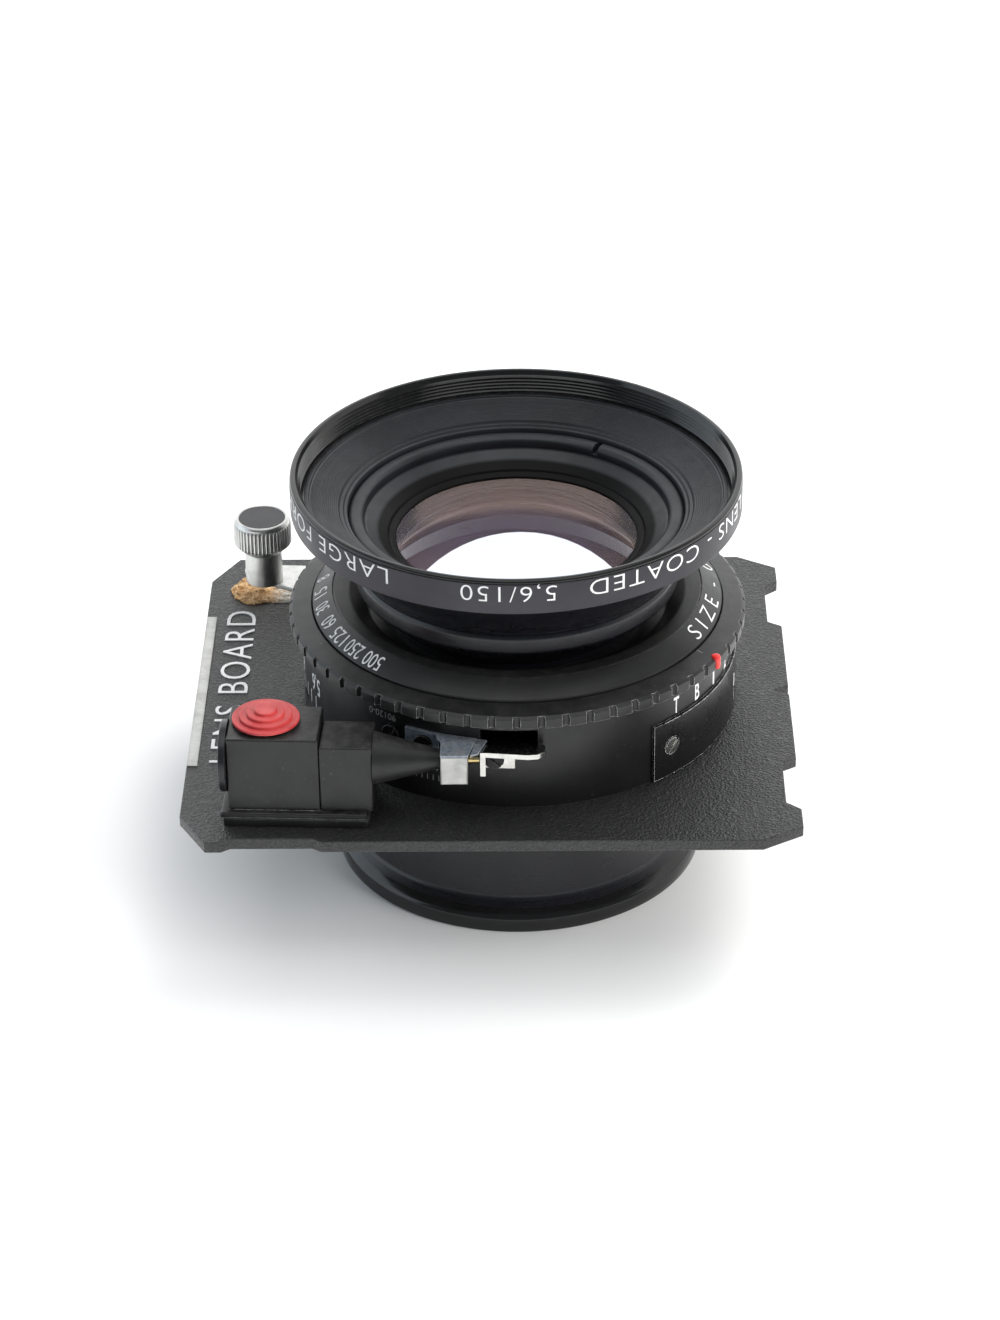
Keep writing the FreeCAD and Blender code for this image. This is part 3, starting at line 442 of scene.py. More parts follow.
def make_finishes():
    crinkle_coat()
    finish("black_anodised", ANODISED_DARK, ANODISED_LIGHT, (0.26, 0.38), cloud=0.12,
           lathe=(0.16, 0.25), wear_and_highlight=(0.2, 0.12, 0.35))
    finish("inner_black", INNER_DARK, INNER_LIGHT, (0.34, 0.46), cloud=0.1,
           lathe=(0.14, 0.3), dust=0.05)
    dish_black_painted_shade()
    finish("bore_black", ANODISED_DARK, ANODISED_LIGHT, (0.3, 0.42), cloud=0.12,
           lathe=(0.3, 0.05), wear_and_highlight=(0.2, 0.12, 0.35))
    finish("case_black", 0.006, 0.01, (0.28, 0.4), cloud=0.1, grain=(9.0, 0.12),
           wear_and_highlight=(0.22, 0.12, 0.5), specks=0.12)
    # Edge lightening here is partly wear and partly a painted highlight along the dial's lit
    # edges.
    finish("dial_black", 0.008, 0.013, (0.32, 0.42), cloud=0.12, grain=(12.0, 0.1),
           lathe=(0.12, 0.12), wear_and_highlight=(0.75, 0.1, 1.2), dust=0.06)
    # Edge lightening here is partly wear and partly painted highlight lines along the speed
    # ring's edges.
    finish("ring_black", 0.009, 0.015, (0.34, 0.44), cloud=0.15, grain=(12.0, 0.1),
           wear_and_highlight=(0.6, 0.12, 1.8), dust=0.05, specks=0.08)
    # Edge lightening here is partly wear and partly a painted highlight along the cover plate's
    # top edge.
    finish("cover_black", 0.005, 0.008, (0.24, 0.34), cloud=0.1, grain=(10.0, 0.08),
           wear_and_highlight=(0.8, 0.16, 2.4), specks=0.1)
    finish("name_ring_grey", (0.046, 0.045, 0.051), (0.06, 0.059, 0.066), (0.34, 0.44),
           metal=0.85, cloud=0.08, grain=(14.0, 0.08), lathe=(0.1, 0.1), wear_and_highlight=(0.4, 0.1, 0.4))
    finish("rim_gloss", 0.004, 0.008, (0.12, 0.22), cloud=0.2, lathe=(0.1, 0.1),
           wear_and_highlight=(0.3, 0.08, 0.3))
    finish("blade_steel", 0.1, 0.16, (0.3, 0.42), metal=0.9, cloud=0.2, grain=(5.0, 0.1))
    finish("bright_steel", (0.56, 0.55, 0.52), (0.72, 0.71, 0.68), (0.16, 0.3), metal=1.0,
           cloud=0.8, grain=(9.0, 0.12), wear_and_highlight=(0.9, 0.1, 0.5))
    # Edge lightening here is partly wear and partly a painted highlight along the bracket's
    # edges.
    finish("blued_steel", (0.14, 0.17, 0.21), (0.32, 0.36, 0.42), (0.3, 0.5), metal=0.5,
           cloud=1.5, grain=(6.0, 0.35), wear_and_highlight=(0.9, 0.12, 2.0), dust=0.8, specks=1.0)
    finish("matt_nickel", (0.38, 0.38, 0.37), (0.52, 0.52, 0.5), (0.32, 0.44), metal=1.0,
           cloud=0.6, grain=(10.0, 0.15), wear_and_highlight=(0.8, 0.1, 0.4))
    finish("nickel", (0.55, 0.55, 0.53), (0.7, 0.7, 0.68), (0.3, 0.42), metal=1.0, cloud=0.6,
           grain=(10.0, 0.1), wear_and_highlight=(0.9, 0.1, 0.4))
    finish("brass", (0.55, 0.42, 0.18), (0.8, 0.66, 0.36), (0.18, 0.3), metal=1.0, cloud=1.0,
           grain=(10.0, 0.1))
    # Edge lightening here is partly wear and partly painted highlight crescents on the screw
    # heads.
    finish("screw_black", 0.015, 0.03, (0.16, 0.26), metal=0.7, cloud=0.8,
           wear_and_highlight=(0.85, 0.14, 1.2))
    finish("socket_black", 0.006, 0.011, (0.3, 0.42), cloud=0.14, grain=(7.0, 0.16),
           wear_and_highlight=(0.5, 0.14, 1.6), dust=0.12, specks=0.16)
    finish("button_red", (0.42, 0.03, 0.034), (0.58, 0.07, 0.068), (0.36, 0.5), cloud=0.3,
           grain=(6.0, 0.15), dust=0.1, wear_and_highlight=((0.75, 0.3, 0.28), 0.1, 0.5))
    finish("spring_steel", 0.35, 0.5, (0.25, 0.35), metal=1.0, cloud=0.7)
    finish("cone_black", 0.009, 0.015, (0.4, 0.54), cloud=0.25, grain=(5.0, 0.2), dust=0.1,
           specks=0.1)
    finish("index_red", (0.62, 0.02, 0.02), (0.75, 0.06, 0.05), (0.3, 0.42), cloud=0.9,
           grain=(8.0, 0.1))
    # The front glass's reflection is painted weaker in a circle over the opening.
    coated_glass("glass", (1.0, 0.72, 0.6), 0.095, 2.4, (-13.6, 18.8))
    coated_glass("rear_glass", (0.9, 0.7, 1.0), 0.015, 1.0)
    coated_glass("inner_glass", (0.6, 0.5, 0.75), 0.01)
    coated_glass("cemented_glass", (0.6, 0.5, 0.75), 0.01, 1.0)
    paper_label()
    old_adhesive()
    white_paint("white_paint")
    white_paint("grey_paint", 0.3, 0.6)


NODE_FINISH = {
    "lens_board": "board_crinkle",
    "board_label": "paper_label",
    "adhesive_patch": "old_adhesive",
    "jam_nut": "bore_black",
    "shutter_case": "case_black",
    "divider_plate": "black_anodised",
    "mechanism_plate": "black_anodised",
    "face_plate": "dial_black",
    "side_cover_plate": "cover_black",
    "cover_screw": "bright_steel",
    "speed_ring": "ring_black",
    "speed_index": "index_red",
    "iris_ring": "brass",
    "iris_lever": "nickel",
    "knob_post": "nickel",
    "knob_head": "nickel",
    "knob_inlay": "black_anodised",
    "blade_ring": "brass",
    "preview_lever": "case_black",
    "cocking_lever": "case_black",
    "main_spring": "spring_steel",
    "release_lever": "bright_steel",
    "retard_gear": "brass",
    "retard_pinion": "brass",
    "release_bracket": "blued_steel",
    "release_socket": "matt_nickel",
    "transfer_pin": "brass",
    "lever_plate": "bright_steel",
    "bracket_screws": "screw_black",
    "sync_terminal": "nickel",
    "socket_base_plate": "socket_black",
    "socket_block": "socket_black",
    "socket_extension": "socket_black",
    "socket_collar": "black_anodised",
    "release_button": "button_red",
    "button_spring": "spring_steel",
    "latch_plate": "nickel",
    "cable_cone": "cone_black",
    "front_barrel": "inner_black",
    "name_ring": "name_ring_grey",
    "front_retaining_ring": "dish_black_painted_shade",
    "front_inner_ring": "inner_black",
    "front_glass_outer": "glass",
    "front_glass_cemented": "cemented_glass",
    "front_glass_inner": "inner_glass",
    "rear_barrel": "bore_black",
    "rear_retaining_ring": "black_anodised",
    "rear_glass_inner": "inner_glass",
    "rear_glass_cemented": "cemented_glass",
    "rear_glass_outer": "rear_glass",
}


def dress_frame():
    """Gives every CAD node its finish. The shutter's and the iris's blades are plain steel."""
    for name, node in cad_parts.items():
        kind = NODE_FINISH.get(name, "blade_steel")
        node.data.materials.clear()
        node.data.materials.append(FINISHES[kind])


def break_edges(node, width):
    """Breaks a CAD node's sharp edges with modifiers, as tumbling or filing would."""
    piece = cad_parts[node]
    weld = piece.modifiers.new("weld", "WELD")
    weld.merge_threshold = 0.002 * MM
    flat = piece.modifiers.new("flat", "DECIMATE")
    flat.decimate_type = "DISSOLVE"
    flat.angle_limit = math.radians(0.5)
    bevel = piece.modifiers.new("bevel", "BEVEL")
    bevel.width = width * MM
    bevel.segments = 3
    bevel.limit_method = "ANGLE"
    bevel.angle_limit = math.radians(38)
    piece.modifiers.new("shading", "WEIGHTED_NORMAL").keep_sharp = False
    for face in piece.data.polygons:
        face.use_smooth = True


# ---- mesh helpers -------------------------------------------------------------------------
SHARP = math.radians(32)
MERGE = 1e-5


def add_object(name, bm, materials):
    """Turns a bmesh in metres into an object of the scene, and frees the bmesh."""
    mesh = bpy.data.meshes.new(name)
    bm.to_mesh(mesh)
    bm.free()
    for material in materials:
        mesh.materials.append(material)
    made = bpy.data.objects.new(name, mesh)
    bpy.context.scene.collection.objects.link(made)
    return made


def add_piece(name, bm, finishes, body, stands_for=()):
    """Turns a bmesh in millimetres into a smooth-shaded piece that rides on a body."""
    bmesh.ops.scale(bm, vec=(MM, MM, MM), verts=bm.verts)
    for face in bm.faces:
        face.smooth = True
    for edge in bm.edges:
        if len(edge.link_faces) == 2:
            edge.smooth = edge.calc_face_angle(0.0) < SHARP
    piece = add_object(name, bm, [FINISHES[kind] for kind in finishes])
    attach(piece, body)
    if stands_for:
        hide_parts(*stands_for)
    return piece


def soften(profile, steps=4):
    """Rounds the corners of a closed (radius, height) outline; a third number is the rounding."""
    outline = []
    for i, point in enumerate(profile):
        here = Vector(point[:2])
        size = point[2] if len(point) > 2 else 0.0
        if size == 0.0:
            outline.append(here)
            continue
        before = Vector(profile[i - 1][:2]) - here
        after = Vector(profile[(i + 1) % len(profile)][:2]) - here
        start = here + before.normalized() * min(size, before.length * 0.45)
        end = here + after.normalized() * min(size, after.length * 0.45)
        for k in range(steps + 1):
            t = k / steps
            outline.append(start * (1 - t) ** 2 + here * 2 * t * (1 - t) + end * t * t)
    return outline


STOPS = 288


def turned(profile, stops=STOPS, centre=(0.0, 0.0), reshape=None, paint=None):
    """A solid of revolution about an upright axis, from a closed outline whose heights are h.

    reshape(radius, h, degrees) may move a point in or out, and paint(radius, h) picks the
    material slot of a face. stops is a number of even steps or a list of angles in degrees.
    """
    outline = soften(profile)
    angles = stops if isinstance(stops, list) else [360.0 * k / stops for k in range(stops)]
    bm = bmesh.new()
    ranks = []
    for degrees in angles:
        angle = math.radians(degrees)
        rank = []
        for radius, h in outline:
            r = reshape(radius, h, degrees) if reshape else radius
            x = centre[0] + r * math.cos(angle)
            y = centre[1] + r * math.sin(angle)
            rank.append(bm.verts.new((x, y, BOARD_FRONT + h)))
        ranks.append(rank)
    for k, rank in enumerate(ranks):
        beside = ranks[(k + 1) % len(ranks)]
        for i, here in enumerate(outline):
            j = (i + 1) % len(outline)
            face = bm.faces.new((rank[i], beside[i], beside[j], rank[j]))
            if paint:
                middle = (here + outline[j]) / 2
                face.material_index = paint(middle.x, middle.y)
    bmesh.ops.remove_doubles(bm, verts=bm.verts, dist=MERGE)
    bmesh.ops.recalc_face_normals(bm, faces=bm.faces)
    return bm


# ---- turned parts -------------------------------------------------------------------------
# Each outline lists (radius, h) or (radius, h, rounding) in millimetres, once round the section.
def build_name_ring():
    """The front ring: a satin wall, a glossy rounded rim and four ridges for a filter thread."""
    wall_top = NAME_TOP - 0.62
    seat_r = 28.12
    profile = [
        (seat_r, NAME_LOW),
        (NAME_R - 0.12, NAME_LOW, 0.05),
        (NAME_R, NAME_LOW + 0.14, 0.08),
        (NAME_R, wall_top, 0.05),
        (NAME_R - 0.14, wall_top + 0.06),
        (NAME_R - 0.02, wall_top + 0.16, 0.1),
        (NAME_R - 0.1, NAME_TOP - 0.14, 0.15),
        (NAME_R - 0.45, NAME_TOP, 0.15),
        (NAME_R - 0.78, NAME_TOP - 0.04, 0.06),
        (28.95, NAME_TOP - 0.62, 0.1),
    ]
    thread_pitch = 0.5
    crest_r = 28.6
    root_r = 28.9
    for ridge in range(4):
        crest = NAME_TOP - 0.95 - ridge * thread_pitch
        profile.append((crest_r, crest, 0.04))
        profile.append((root_r, crest - thread_pitch / 2, 0.03))
    bottom = NAME_TOP - 3.0
    profile += [(28.62, bottom + 0.05), (28.62, bottom), (seat_r, bottom)]

    def paint(radius, h):
        return 0 if radius > NAME_R - 0.13 and h < wall_top + 0.02 else 1

    bm = turned(profile, 360, paint=paint)
    add_piece("front_ring_turned", bm, ["name_ring_grey", "rim_gloss"], "lens",
              ["name_ring"])


CELL_BORE_R = 12.6
CELL_WIDE_BORE_R = 13.65
CELL_NECK_R = 14.7


def build_front_barrel():
    """The front cell's mount: a collar, a flare, and a ribbed cone inside its mouth."""
    profile = [
        (CELL_BORE_R, 8.4),
        (CELL_NECK_R, 8.4),
        (CELL_NECK_R, 13.6),
        (16.9, 13.6),
        (17.05, 14.6, 0.2),
        (18.2, 15.4, 0.2),
        (21.4, 18.5, 0.2),
        (21.7, 18.9, 0.2),
        (21.7, 20.9, 0.3),
        (21.35, 21.35, 0.1),
        (21.1, 21.4, 0.1),
        (21.5, 22.1, 0.2),
        (28.1, 29.2, 0.4),
        (28.1, 31.3, 0.05),
        (27.55, 31.3, 0.05),
        (27.45, 31.05, 0.05),
    ]
    ribs = 14
    top = Vector((27.3, 31.0))
    foot = Vector((23.75, 29.5))
    groove = Vector((0.03, -0.09))
    for k in range(ribs):
        ridge = top.lerp(foot, k / ribs)
        valley = top.lerp(foot, (k + 0.55) / ribs) + groove
        profile += [(*ridge, 0.05), (*valley, 0.03)]
    profile += [
        (23.7, 29.5, 0.06),
        (23.45, 29.1, 0.05),
        (23.1, 29.15, 0.08),
        (22.85, 28.8, 0.05),
        (22.55, 28.8, 0.06),
        (22.4, 28.5),
        (22.4, 26.0),
        (17.55, 24.2),
        (17.55, 15.0),
        (CELL_WIDE_BORE_R, 15.0),
        (CELL_WIDE_BORE_R, 8.85),
        (CELL_BORE_R, 8.85),
    ]

    def paint(radius, h):
        outside_the_flare = radius - (h - 22.1) * 0.93 > 21.0
        return 0 if outside_the_flare and radius > 14 and h < 29.0 else 1

    bm = turned(profile, 320, paint=paint)
    add_piece("front_barrel_turned", bm, ["black_anodised", "inner_black"], "lens",
              ["front_barrel"])


def build_retaining_ring():
    """The ring over the front glass: a bead with two spanner slots, a groove and a dark cone."""
    profile = [
        (18.1, 24.95),
        (22.3, 26.15),
        (22.3, 28.1, 0.1),
        (21.95, 28.4, 0.3),
        (20.85, 28.4, 0.3),
        (20.35, 28.0, 0.25),
        (20.2, 27.3),
        (20.25, 26.95),
        (19.9, 26.85, 0.1),
        (17.2, 25.2, 0.15),
        (17.05, 24.95),
        (16.85, 25.0, 0.06),
        (16.1, 24.6, 0.08),
        (16.1, 24.3),
        (17.3, 24.3),
    ]
    slot_deg = (58.3, 238.3)
    half_deg = 1.05
    edge_deg = 0.06
    slot_floor_h = 27.35
    angles = [360.0 * k / STOPS for k in range(STOPS)]
    for middle in slot_deg:
        angles = [a for a in angles if abs(a - middle) > half_deg + 0.3]
        for side in (-1, 1):
            angles += [middle + side * half_deg, middle + side * (half_deg + edge_deg)]
    angles.sort()

    def in_slot(degrees):
        return any(abs(degrees - middle) < half_deg + edge_deg / 2 for middle in slot_deg)

    bm = turned(profile, angles)
    floor = BOARD_FRONT + slot_floor_h
    for vert in bm.verts:
        degrees = math.degrees(math.atan2(vert.co.y, vert.co.x)) % 360
        if in_slot(degrees) and vert.co.z > floor:
            vert.co.z = floor
    add_piece("retaining_ring_turned", bm, ["dish_black_painted_shade"], "lens",
              ["front_retaining_ring"])


def face_h(radius):
    """The height of the dial's cone at a radius."""
    return FACE_FOOT + (FACE_R - radius) * math.tan(FACE_SLOPE)


def build_face_plate():
    """The dial's fixed cone, a groove inside it and the cup round the front cell's neck."""
    cup_r = 14.75
    profile = [
        (cup_r, 8.2),
        (16.5, 8.2),
        (16.5, 12.7),
        (FACE_R, 12.7),
        (FACE_R, FACE_FOOT, 0.1),
        (FACE_INNER_R, FACE_TOP, 0.08),
        (FACE_INNER_R - 0.12, FACE_TOP - 0.2),
        (FACE_INNER_R - 0.3, FACE_TOP - 0.1, 0.06),
        (22.6, FACE_TOP - 0.25, 0.3),
        (20.2, 15.2, 0.2),
        (20.2, 13.5),
        (cup_r, 13.5),
    ]
    add_piece("dial_face_turned", turned(profile), ["dial_black"], "lens",
              ["face_plate"])


NOTCH_COUNT = 60
NOTCH_R = 0.5
NOTCH_CENTRE = SPEED_R + 0.1
SPEED_BORE_R = 27.68
SPEED_BEVEL = 0.45
SPEED_DROP = 0.5


def build_speed_ring():
    """The speed ring with its sixty round notches and bevelled top edge."""
    rim_top = SPEED_TOP - SPEED_DROP
    profile = [
        (SPEED_BORE_R, SPEED_LOW),
        (SPEED_R, SPEED_LOW, 0.05),
        (SPEED_R, rim_top - 0.35, 0.05),
        (SPEED_R - SPEED_BEVEL, rim_top, 0.06),
        (SPEED_BORE_R + 0.1, SPEED_TOP, 0.06),
        (SPEED_BORE_R, SPEED_TOP - 0.08),
    ]
    step = 360.0 / NOTCH_COUNT
    half = math.degrees(NOTCH_R / NOTCH_CENTRE)
    inside = [-1.0, -0.995, -0.97, -0.85, -0.6, -0.3, 0.0, 0.3, 0.6, 0.85, 0.97, 0.995, 1.0]
    angles = []
    for k in range(NOTCH_COUNT):
        angles += [k * step + half * share for share in inside]
        angles += [k * step + half + (step - 2 * half) * share for share in (0.25, 0.5, 0.75)]

    def notch(radius, h, degrees):
        across = abs((degrees + step / 2) % step - step / 2) / half
        if across > 0.999:
            return radius
        return min(radius, NOTCH_CENTRE - NOTCH_R * math.sqrt(1 - across * across))

    bm = turned(profile, angles, reshape=notch)
    add_piece("speed_ring_notched", bm, ["ring_black"], "speed_ring",
              ["speed_ring"])


def build_index_bead():
    """The red enamel bead on the speed ring's edge."""
    low, high = (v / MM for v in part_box("speed_index"))
    radius = (high.x - low.x) / 2
    centre = ((low.x + high.x) / 2, (low.y + high.y) / 2)
    top = high.z - BOARD_FRONT
    profile = [
        (0.0, low.z - BOARD_FRONT),
        (radius, low.z - BOARD_FRONT),
        (radius, top - 0.1, 0.35),
        (radius * 0.5, top, 0.2),
        (0.0, top),
    ]
    add_piece("index_bead", turned(profile, 40, centre), ["index_red"], "speed_ring",
              ["speed_index"])


def build_rear_barrel():
    """The rear cell's mount with its round rear rim."""
    low = -BOARD_FRONT
    profile = [
        (CELL_BORE_R, low + 22.9),
        (CELL_NECK_R, low + 22.9),
        (CELL_NECK_R, low + 17.6),
        (20.6, low + 17.5, 0.2),
        (23.0, low + 16.3, 0.4),
        (23.0, low + 4.2, 0.5),
        (24.4, low + 3.0, 0.4),
        (REAR_R, low + 2.2, 0.5),
        (REAR_R, low + 0.9, 0.3),
        (REAR_R - 0.15, low, 0.3),
        (24.4, low, 0.3),
        (22.4, low + 1.2, 0.3),
        (21.2, low + 4.4, 0.2),
        (19.45, low + 4.4),
        (19.45, low + 14.1),
        (13.0, low + 14.1),
        (13.0, low + 17.5),
        (CELL_WIDE_BORE_R, low + 17.5),
        (CELL_WIDE_BORE_R, low + 22.4),
        (CELL_BORE_R, low + 22.4),
    ]

    def paint(radius, h):
        return 1 if h - low < 3.2 and radius > 23.5 else 0

    bm = turned(profile, paint=paint)
    add_piece("rear_barrel_turned", bm, ["black_anodised", "rim_gloss"], "lens",
              ["rear_barrel"])


KNURLS = 44
KNURL_DEPTH = 0.24


def build_knob_head():
    """The knurled nickel head with a recess for the dark inlay."""
    low = KNOB_LOW - BOARD_FRONT
    high = KNOB_TOP - BOARD_FRONT
    inlay_r = 3.25
    recess = high - 0.4
    profile = [
        (0.0, low),
        (2.6, low, 0.1),
        (KNOB_R - 0.08, low + 1.3, 0.12),
        (KNOB_R, low + 1.45, 0.1),
        (KNOB_R, high - 0.85, 0.1),
        (KNOB_R - 0.22, high - 0.62, 0.08),
        (KNOB_R - 0.22, high - 0.4, 0.08),
        (KNOB_R - 0.4, high - 0.06, 0.15),
        (inlay_r + 0.14, high, 0.08),
        (inlay_r, high - 0.08, 0.04),
        (inlay_r, recess),
        (0.0, recess),
    ]
    stops_per_knurl = 8

    def knurl(radius, h, degrees):
        if radius < KNOB_R - 0.15 or not low + 1.25 < h < high - 0.7:
            return radius
        wave = abs(math.sin(math.radians(degrees * KNURLS / 2)))
        return radius - KNURL_DEPTH * (1 - wave) ** 1.6

    bm = turned(profile, KNURLS * stops_per_knurl, (KNOB_X, KNOB_Y), reshape=knurl)
    add_piece("knob_head_knurled", bm, ["nickel"], "iris_control", ["knob_head"])


# ---- button's coil ------------------------------------------------------------------------
COIL_TURNS = 3.0
COIL_STEPS = 90
WIRE_R = 0.12
WIRE_SIDES = 10


def build_button_spring():
    """The coil under the button."""
    low, high = (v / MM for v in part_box("button_spring"))
    middle = (low + high) / 2
    coil_r = (high.x - low.x) / 2 - WIRE_R
    bm = bmesh.new()
    loops = []
    for k in range(COIL_STEPS + 1):
        share = k / COIL_STEPS
        angle = math.tau * COIL_TURNS * share
        z = low.z + WIRE_R + (high.z - low.z - 2 * WIRE_R) * share
        loop = []
        for side in range(WIRE_SIDES):
            spin = math.tau * side / WIRE_SIDES
            radius = coil_r + WIRE_R * math.cos(spin)
            loop.append(bm.verts.new((middle.x + radius * math.cos(angle),
                                      middle.y + radius * math.sin(angle),
                                      z + WIRE_R * math.sin(spin))))
        loops.append(loop)
    for first, second in zip(loops, loops[1:]):
        for side in range(WIRE_SIDES):
            near = (side + 1) % WIRE_SIDES
            bm.faces.new((first[side], first[near], second[near], second[side]))
    bm.faces.new(loops[0][::-1])
    bm.faces.new(loops[-1])
    bmesh.ops.recalc_face_normals(bm, faces=bm.faces)
    piece = add_piece("button_coil", bm, ["spring_steel"], "lens",
                      ["button_spring"])
    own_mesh(piece)


# ---- adhesive -----------------------------------------------------------------------------
CRUST_DEPTH = 0.62
SMEAR_DEPTH = 0.28
GLUE_CELL = 0.16
GLUE_THINNEST = 0.02
GLUE_FOOT = 0.005


def inside(point, outline):
    """Whether a point is in a polygon, by counting crossings."""
    x, y = point
    hit = False
    for (x0, y0), (x1, y1) in zip(outline, outline[1:] + outline[:1]):
        if (y0 > y) != (y1 > y) and x < (x1 - x0) * (y - y0) / (y1 - y0) + x0:
            hit = not hit
    return hit


def edge_distance(point, outline):
    """The distance from a point to the nearest side of a polygon."""
    spot = Vector(point)
    best = 1e9
    for a, b in zip(outline, outline[1:] + outline[:1]):
        a, b = Vector(a), Vector(b)
        along = max(0.0, min(1.0, (spot - a).dot(b - a) / (b - a).length_squared))
        best = min(best, (spot - a.lerp(b, along)).length)
    return best


def build_adhesive():
    """Dried glue: a crumbled crust under the knob and a thinner smear beside it."""
    low, high = (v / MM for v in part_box("adhesive_patch"))
    crust = [(-41.3, 28.4), (-40.5, 25.6), (-38.7, 23.9), (-36.3, 24.0), (-35.7, 28.0),
             (-36.4, 31.3), (-39.2, 31.7)]
    smear = [(-36.7, 24.3), (-25.6, 24.3), (-23.7, 26.0), (-24.9, 30.3), (-36.6, 30.7)]
    bm = bmesh.new()
    columns = int((high.x - low.x) / GLUE_CELL) + 1
    rows = int((high.y - low.y) / GLUE_CELL) + 1
    tops, feet = {}, {}
    for i in range(columns):
        for j in range(rows):
            x, y = low.x + i * GLUE_CELL, low.y + j * GLUE_CELL
            ragged = noise.noise(Vector((x * 0.9, y * 0.9, 4.0))) * 0.8
            thick = 0.0
            for outline, depth in ((crust, CRUST_DEPTH), (smear, SMEAR_DEPTH)):
                if inside((x, y), outline):
                    margin = edge_distance((x, y), outline) + ragged * 0.35
                    lumps = 0.62 + 0.75 * noise.fractal(Vector((x, y, 0)) * 1.1, 0.6, 2.0, 5)
                    rise = min(1.0, max(0.0, margin) / 0.5) ** 0.5
                    thick = max(thick, depth * rise * max(0.12, min(1.1, lumps)))
            if thick > GLUE_THINNEST:
                tops[i, j] = bm.verts.new((x, y, low.z + thick))
                feet[i, j] = bm.verts.new((x, y, low.z + GLUE_FOOT))
    for i, j in tops:
        ring = [(i, j), (i + 1, j), (i + 1, j + 1), (i, j + 1)]
        if all(spot in tops for spot in ring):
            bm.faces.new([tops[spot] for spot in ring])
            bm.faces.new([feet[spot] for spot in reversed(ring)])
    bm.verts.index_update()
    partner = {tops[spot]: feet[spot] for spot in tops}
    rims = [e for e in bm.edges if len(e.link_faces) == 1 and e.verts[0] in partner]
    for edge in rims:
        a, b = edge.verts
        bm.faces.new((a, b, partner[b], partner[a]))
    loose = [v for v in bm.verts if not v.link_faces]
    bmesh.ops.delete(bm, geom=loose, context="VERTS")
    bmesh.ops.recalc_face_normals(bm, faces=bm.faces)
    add_piece("adhesive_crust", bm, ["old_adhesive"], "lens", ["adhesive_patch"])


# ---- lettering and scales -----------------------------------------------------------------
INK = 0.025
LONGEST_EDGE = 0.7


def letters(text, cap_height, width, weight=0.0, thick=INK, spacing=1.0):
    """Flat lettering as a bmesh in millimetres, of a given cap height and width.

    weight fattens the strokes, thick is half the depth of the paint, spacing spreads the
    letters.
    """
    def outline(body):
        curve = bpy.data.curves.new("lettering", "FONT")
        curve.body = body
        curve.align_x = "CENTER"
        curve.space_character = spacing
        curve.resolution_u = 4
        curve.offset = weight
        curve.extrude = 0.5
        holder = bpy.data.objects.new("lettering", curve)
        bpy.context.scene.collection.objects.link(holder)
        bpy.context.view_layer.update()
        graph = bpy.context.evaluated_depsgraph_get()
        mesh = bpy.data.meshes.new_from_object(holder.evaluated_get(graph))
        bpy.data.objects.remove(holder)
        bpy.data.curves.remove(curve)
        return mesh

    measure = outline("H")
    tops = [v.co.y for v in measure.vertices]
    cap_low, cap_high = min(tops), max(tops)
    bpy.data.meshes.remove(measure)
    mesh = outline(text)
    bm = bmesh.new()
    bm.from_mesh(mesh)
    bpy.data.meshes.remove(mesh)
    bmesh.ops.remove_doubles(bm, verts=bm.verts, dist=MERGE)
    scale = cap_height / (cap_high - cap_low)
    middle = (cap_low + cap_high) / 2
    left, right = (pick(v.co.x for v in bm.verts) for pick in (min, max))
    stretch = width / (right - left)
    for vert in bm.verts:
        vert.co.x = (vert.co.x - (left + right) / 2) * stretch
        vert.co.y = (vert.co.y - middle) * scale
        vert.co.z = thick if vert.co.z > 0 else -thick
    long_edges = [e for e in bm.edges if e.calc_length() > LONGEST_EDGE]
    bmesh.ops.subdivide_edges(bm, edges=long_edges, cuts=3, use_grid_fill=False)
    bmesh.ops.triangulate(bm, faces=bm.faces)
    return bm


def bar(width, height, thick=INK):
    """A short line of paint, as a bmesh centred on the origin."""
    bm = bmesh.new()
    bmesh.ops.create_cube(bm, size=1.0)
    bmesh.ops.scale(bm, vec=(width, height, 2 * thick), verts=bm.verts)
    bmesh.ops.bevel(bm, geom=bm.edges, offset=min(width, height) * 0.2, segments=2,
                    affect="EDGES", clamp_overlap=True)
    return bm


def on_wall(bm, degrees, h, radius, upside_down=False):
    """Wraps flat work round an upright wall, read from outside."""
    sign = -1.0 if upside_down else 1.0
    for vert in bm.verts:
        angle = math.radians(degrees) + sign * vert.co.x / radius
        r = radius + vert.co.z
        vert.co = (r * math.cos(angle), r * math.sin(angle), BOARD_FRONT + h + sign * vert.co.y)
    return bm


def on_cone(bm, degrees, radius, foot_h, slope, tops_out=True):
    """Bends flat work along a circle on a face that rises inwards by a slope in radians."""
    sign = 1.0 if tops_out else -1.0
    for vert in bm.verts:
        angle = math.radians(degrees) - sign * vert.co.x / radius
        along = sign * vert.co.y
        r = radius + along * math.cos(slope) + vert.co.z * math.sin(slope)
        h = foot_h - along * math.sin(slope) + vert.co.z * math.cos(slope)
        vert.co = (r * math.cos(angle), r * math.sin(angle), BOARD_FRONT + h)
    return bm


def gather(parts):
    """Joins several bmeshes into one."""
    whole = bmesh.new()
    for part in parts:
        mesh = bpy.data.meshes.new("part")
        part.to_mesh(mesh)
        part.free()
        whole.from_mesh(mesh)
        bpy.data.meshes.remove(mesh)
    return whole


SPEEDS = ("T", "B", "1", "2", "4", "8", "15", "30", "60", "125", "250", "500")
WORD_HEIGHT = 2.15
WORD_WEIGHT = -0.012
WIDE_SPACING = 1.12


def arc(degrees, radius):
    """The length of an arc."""
    return math.radians(degrees) * radius


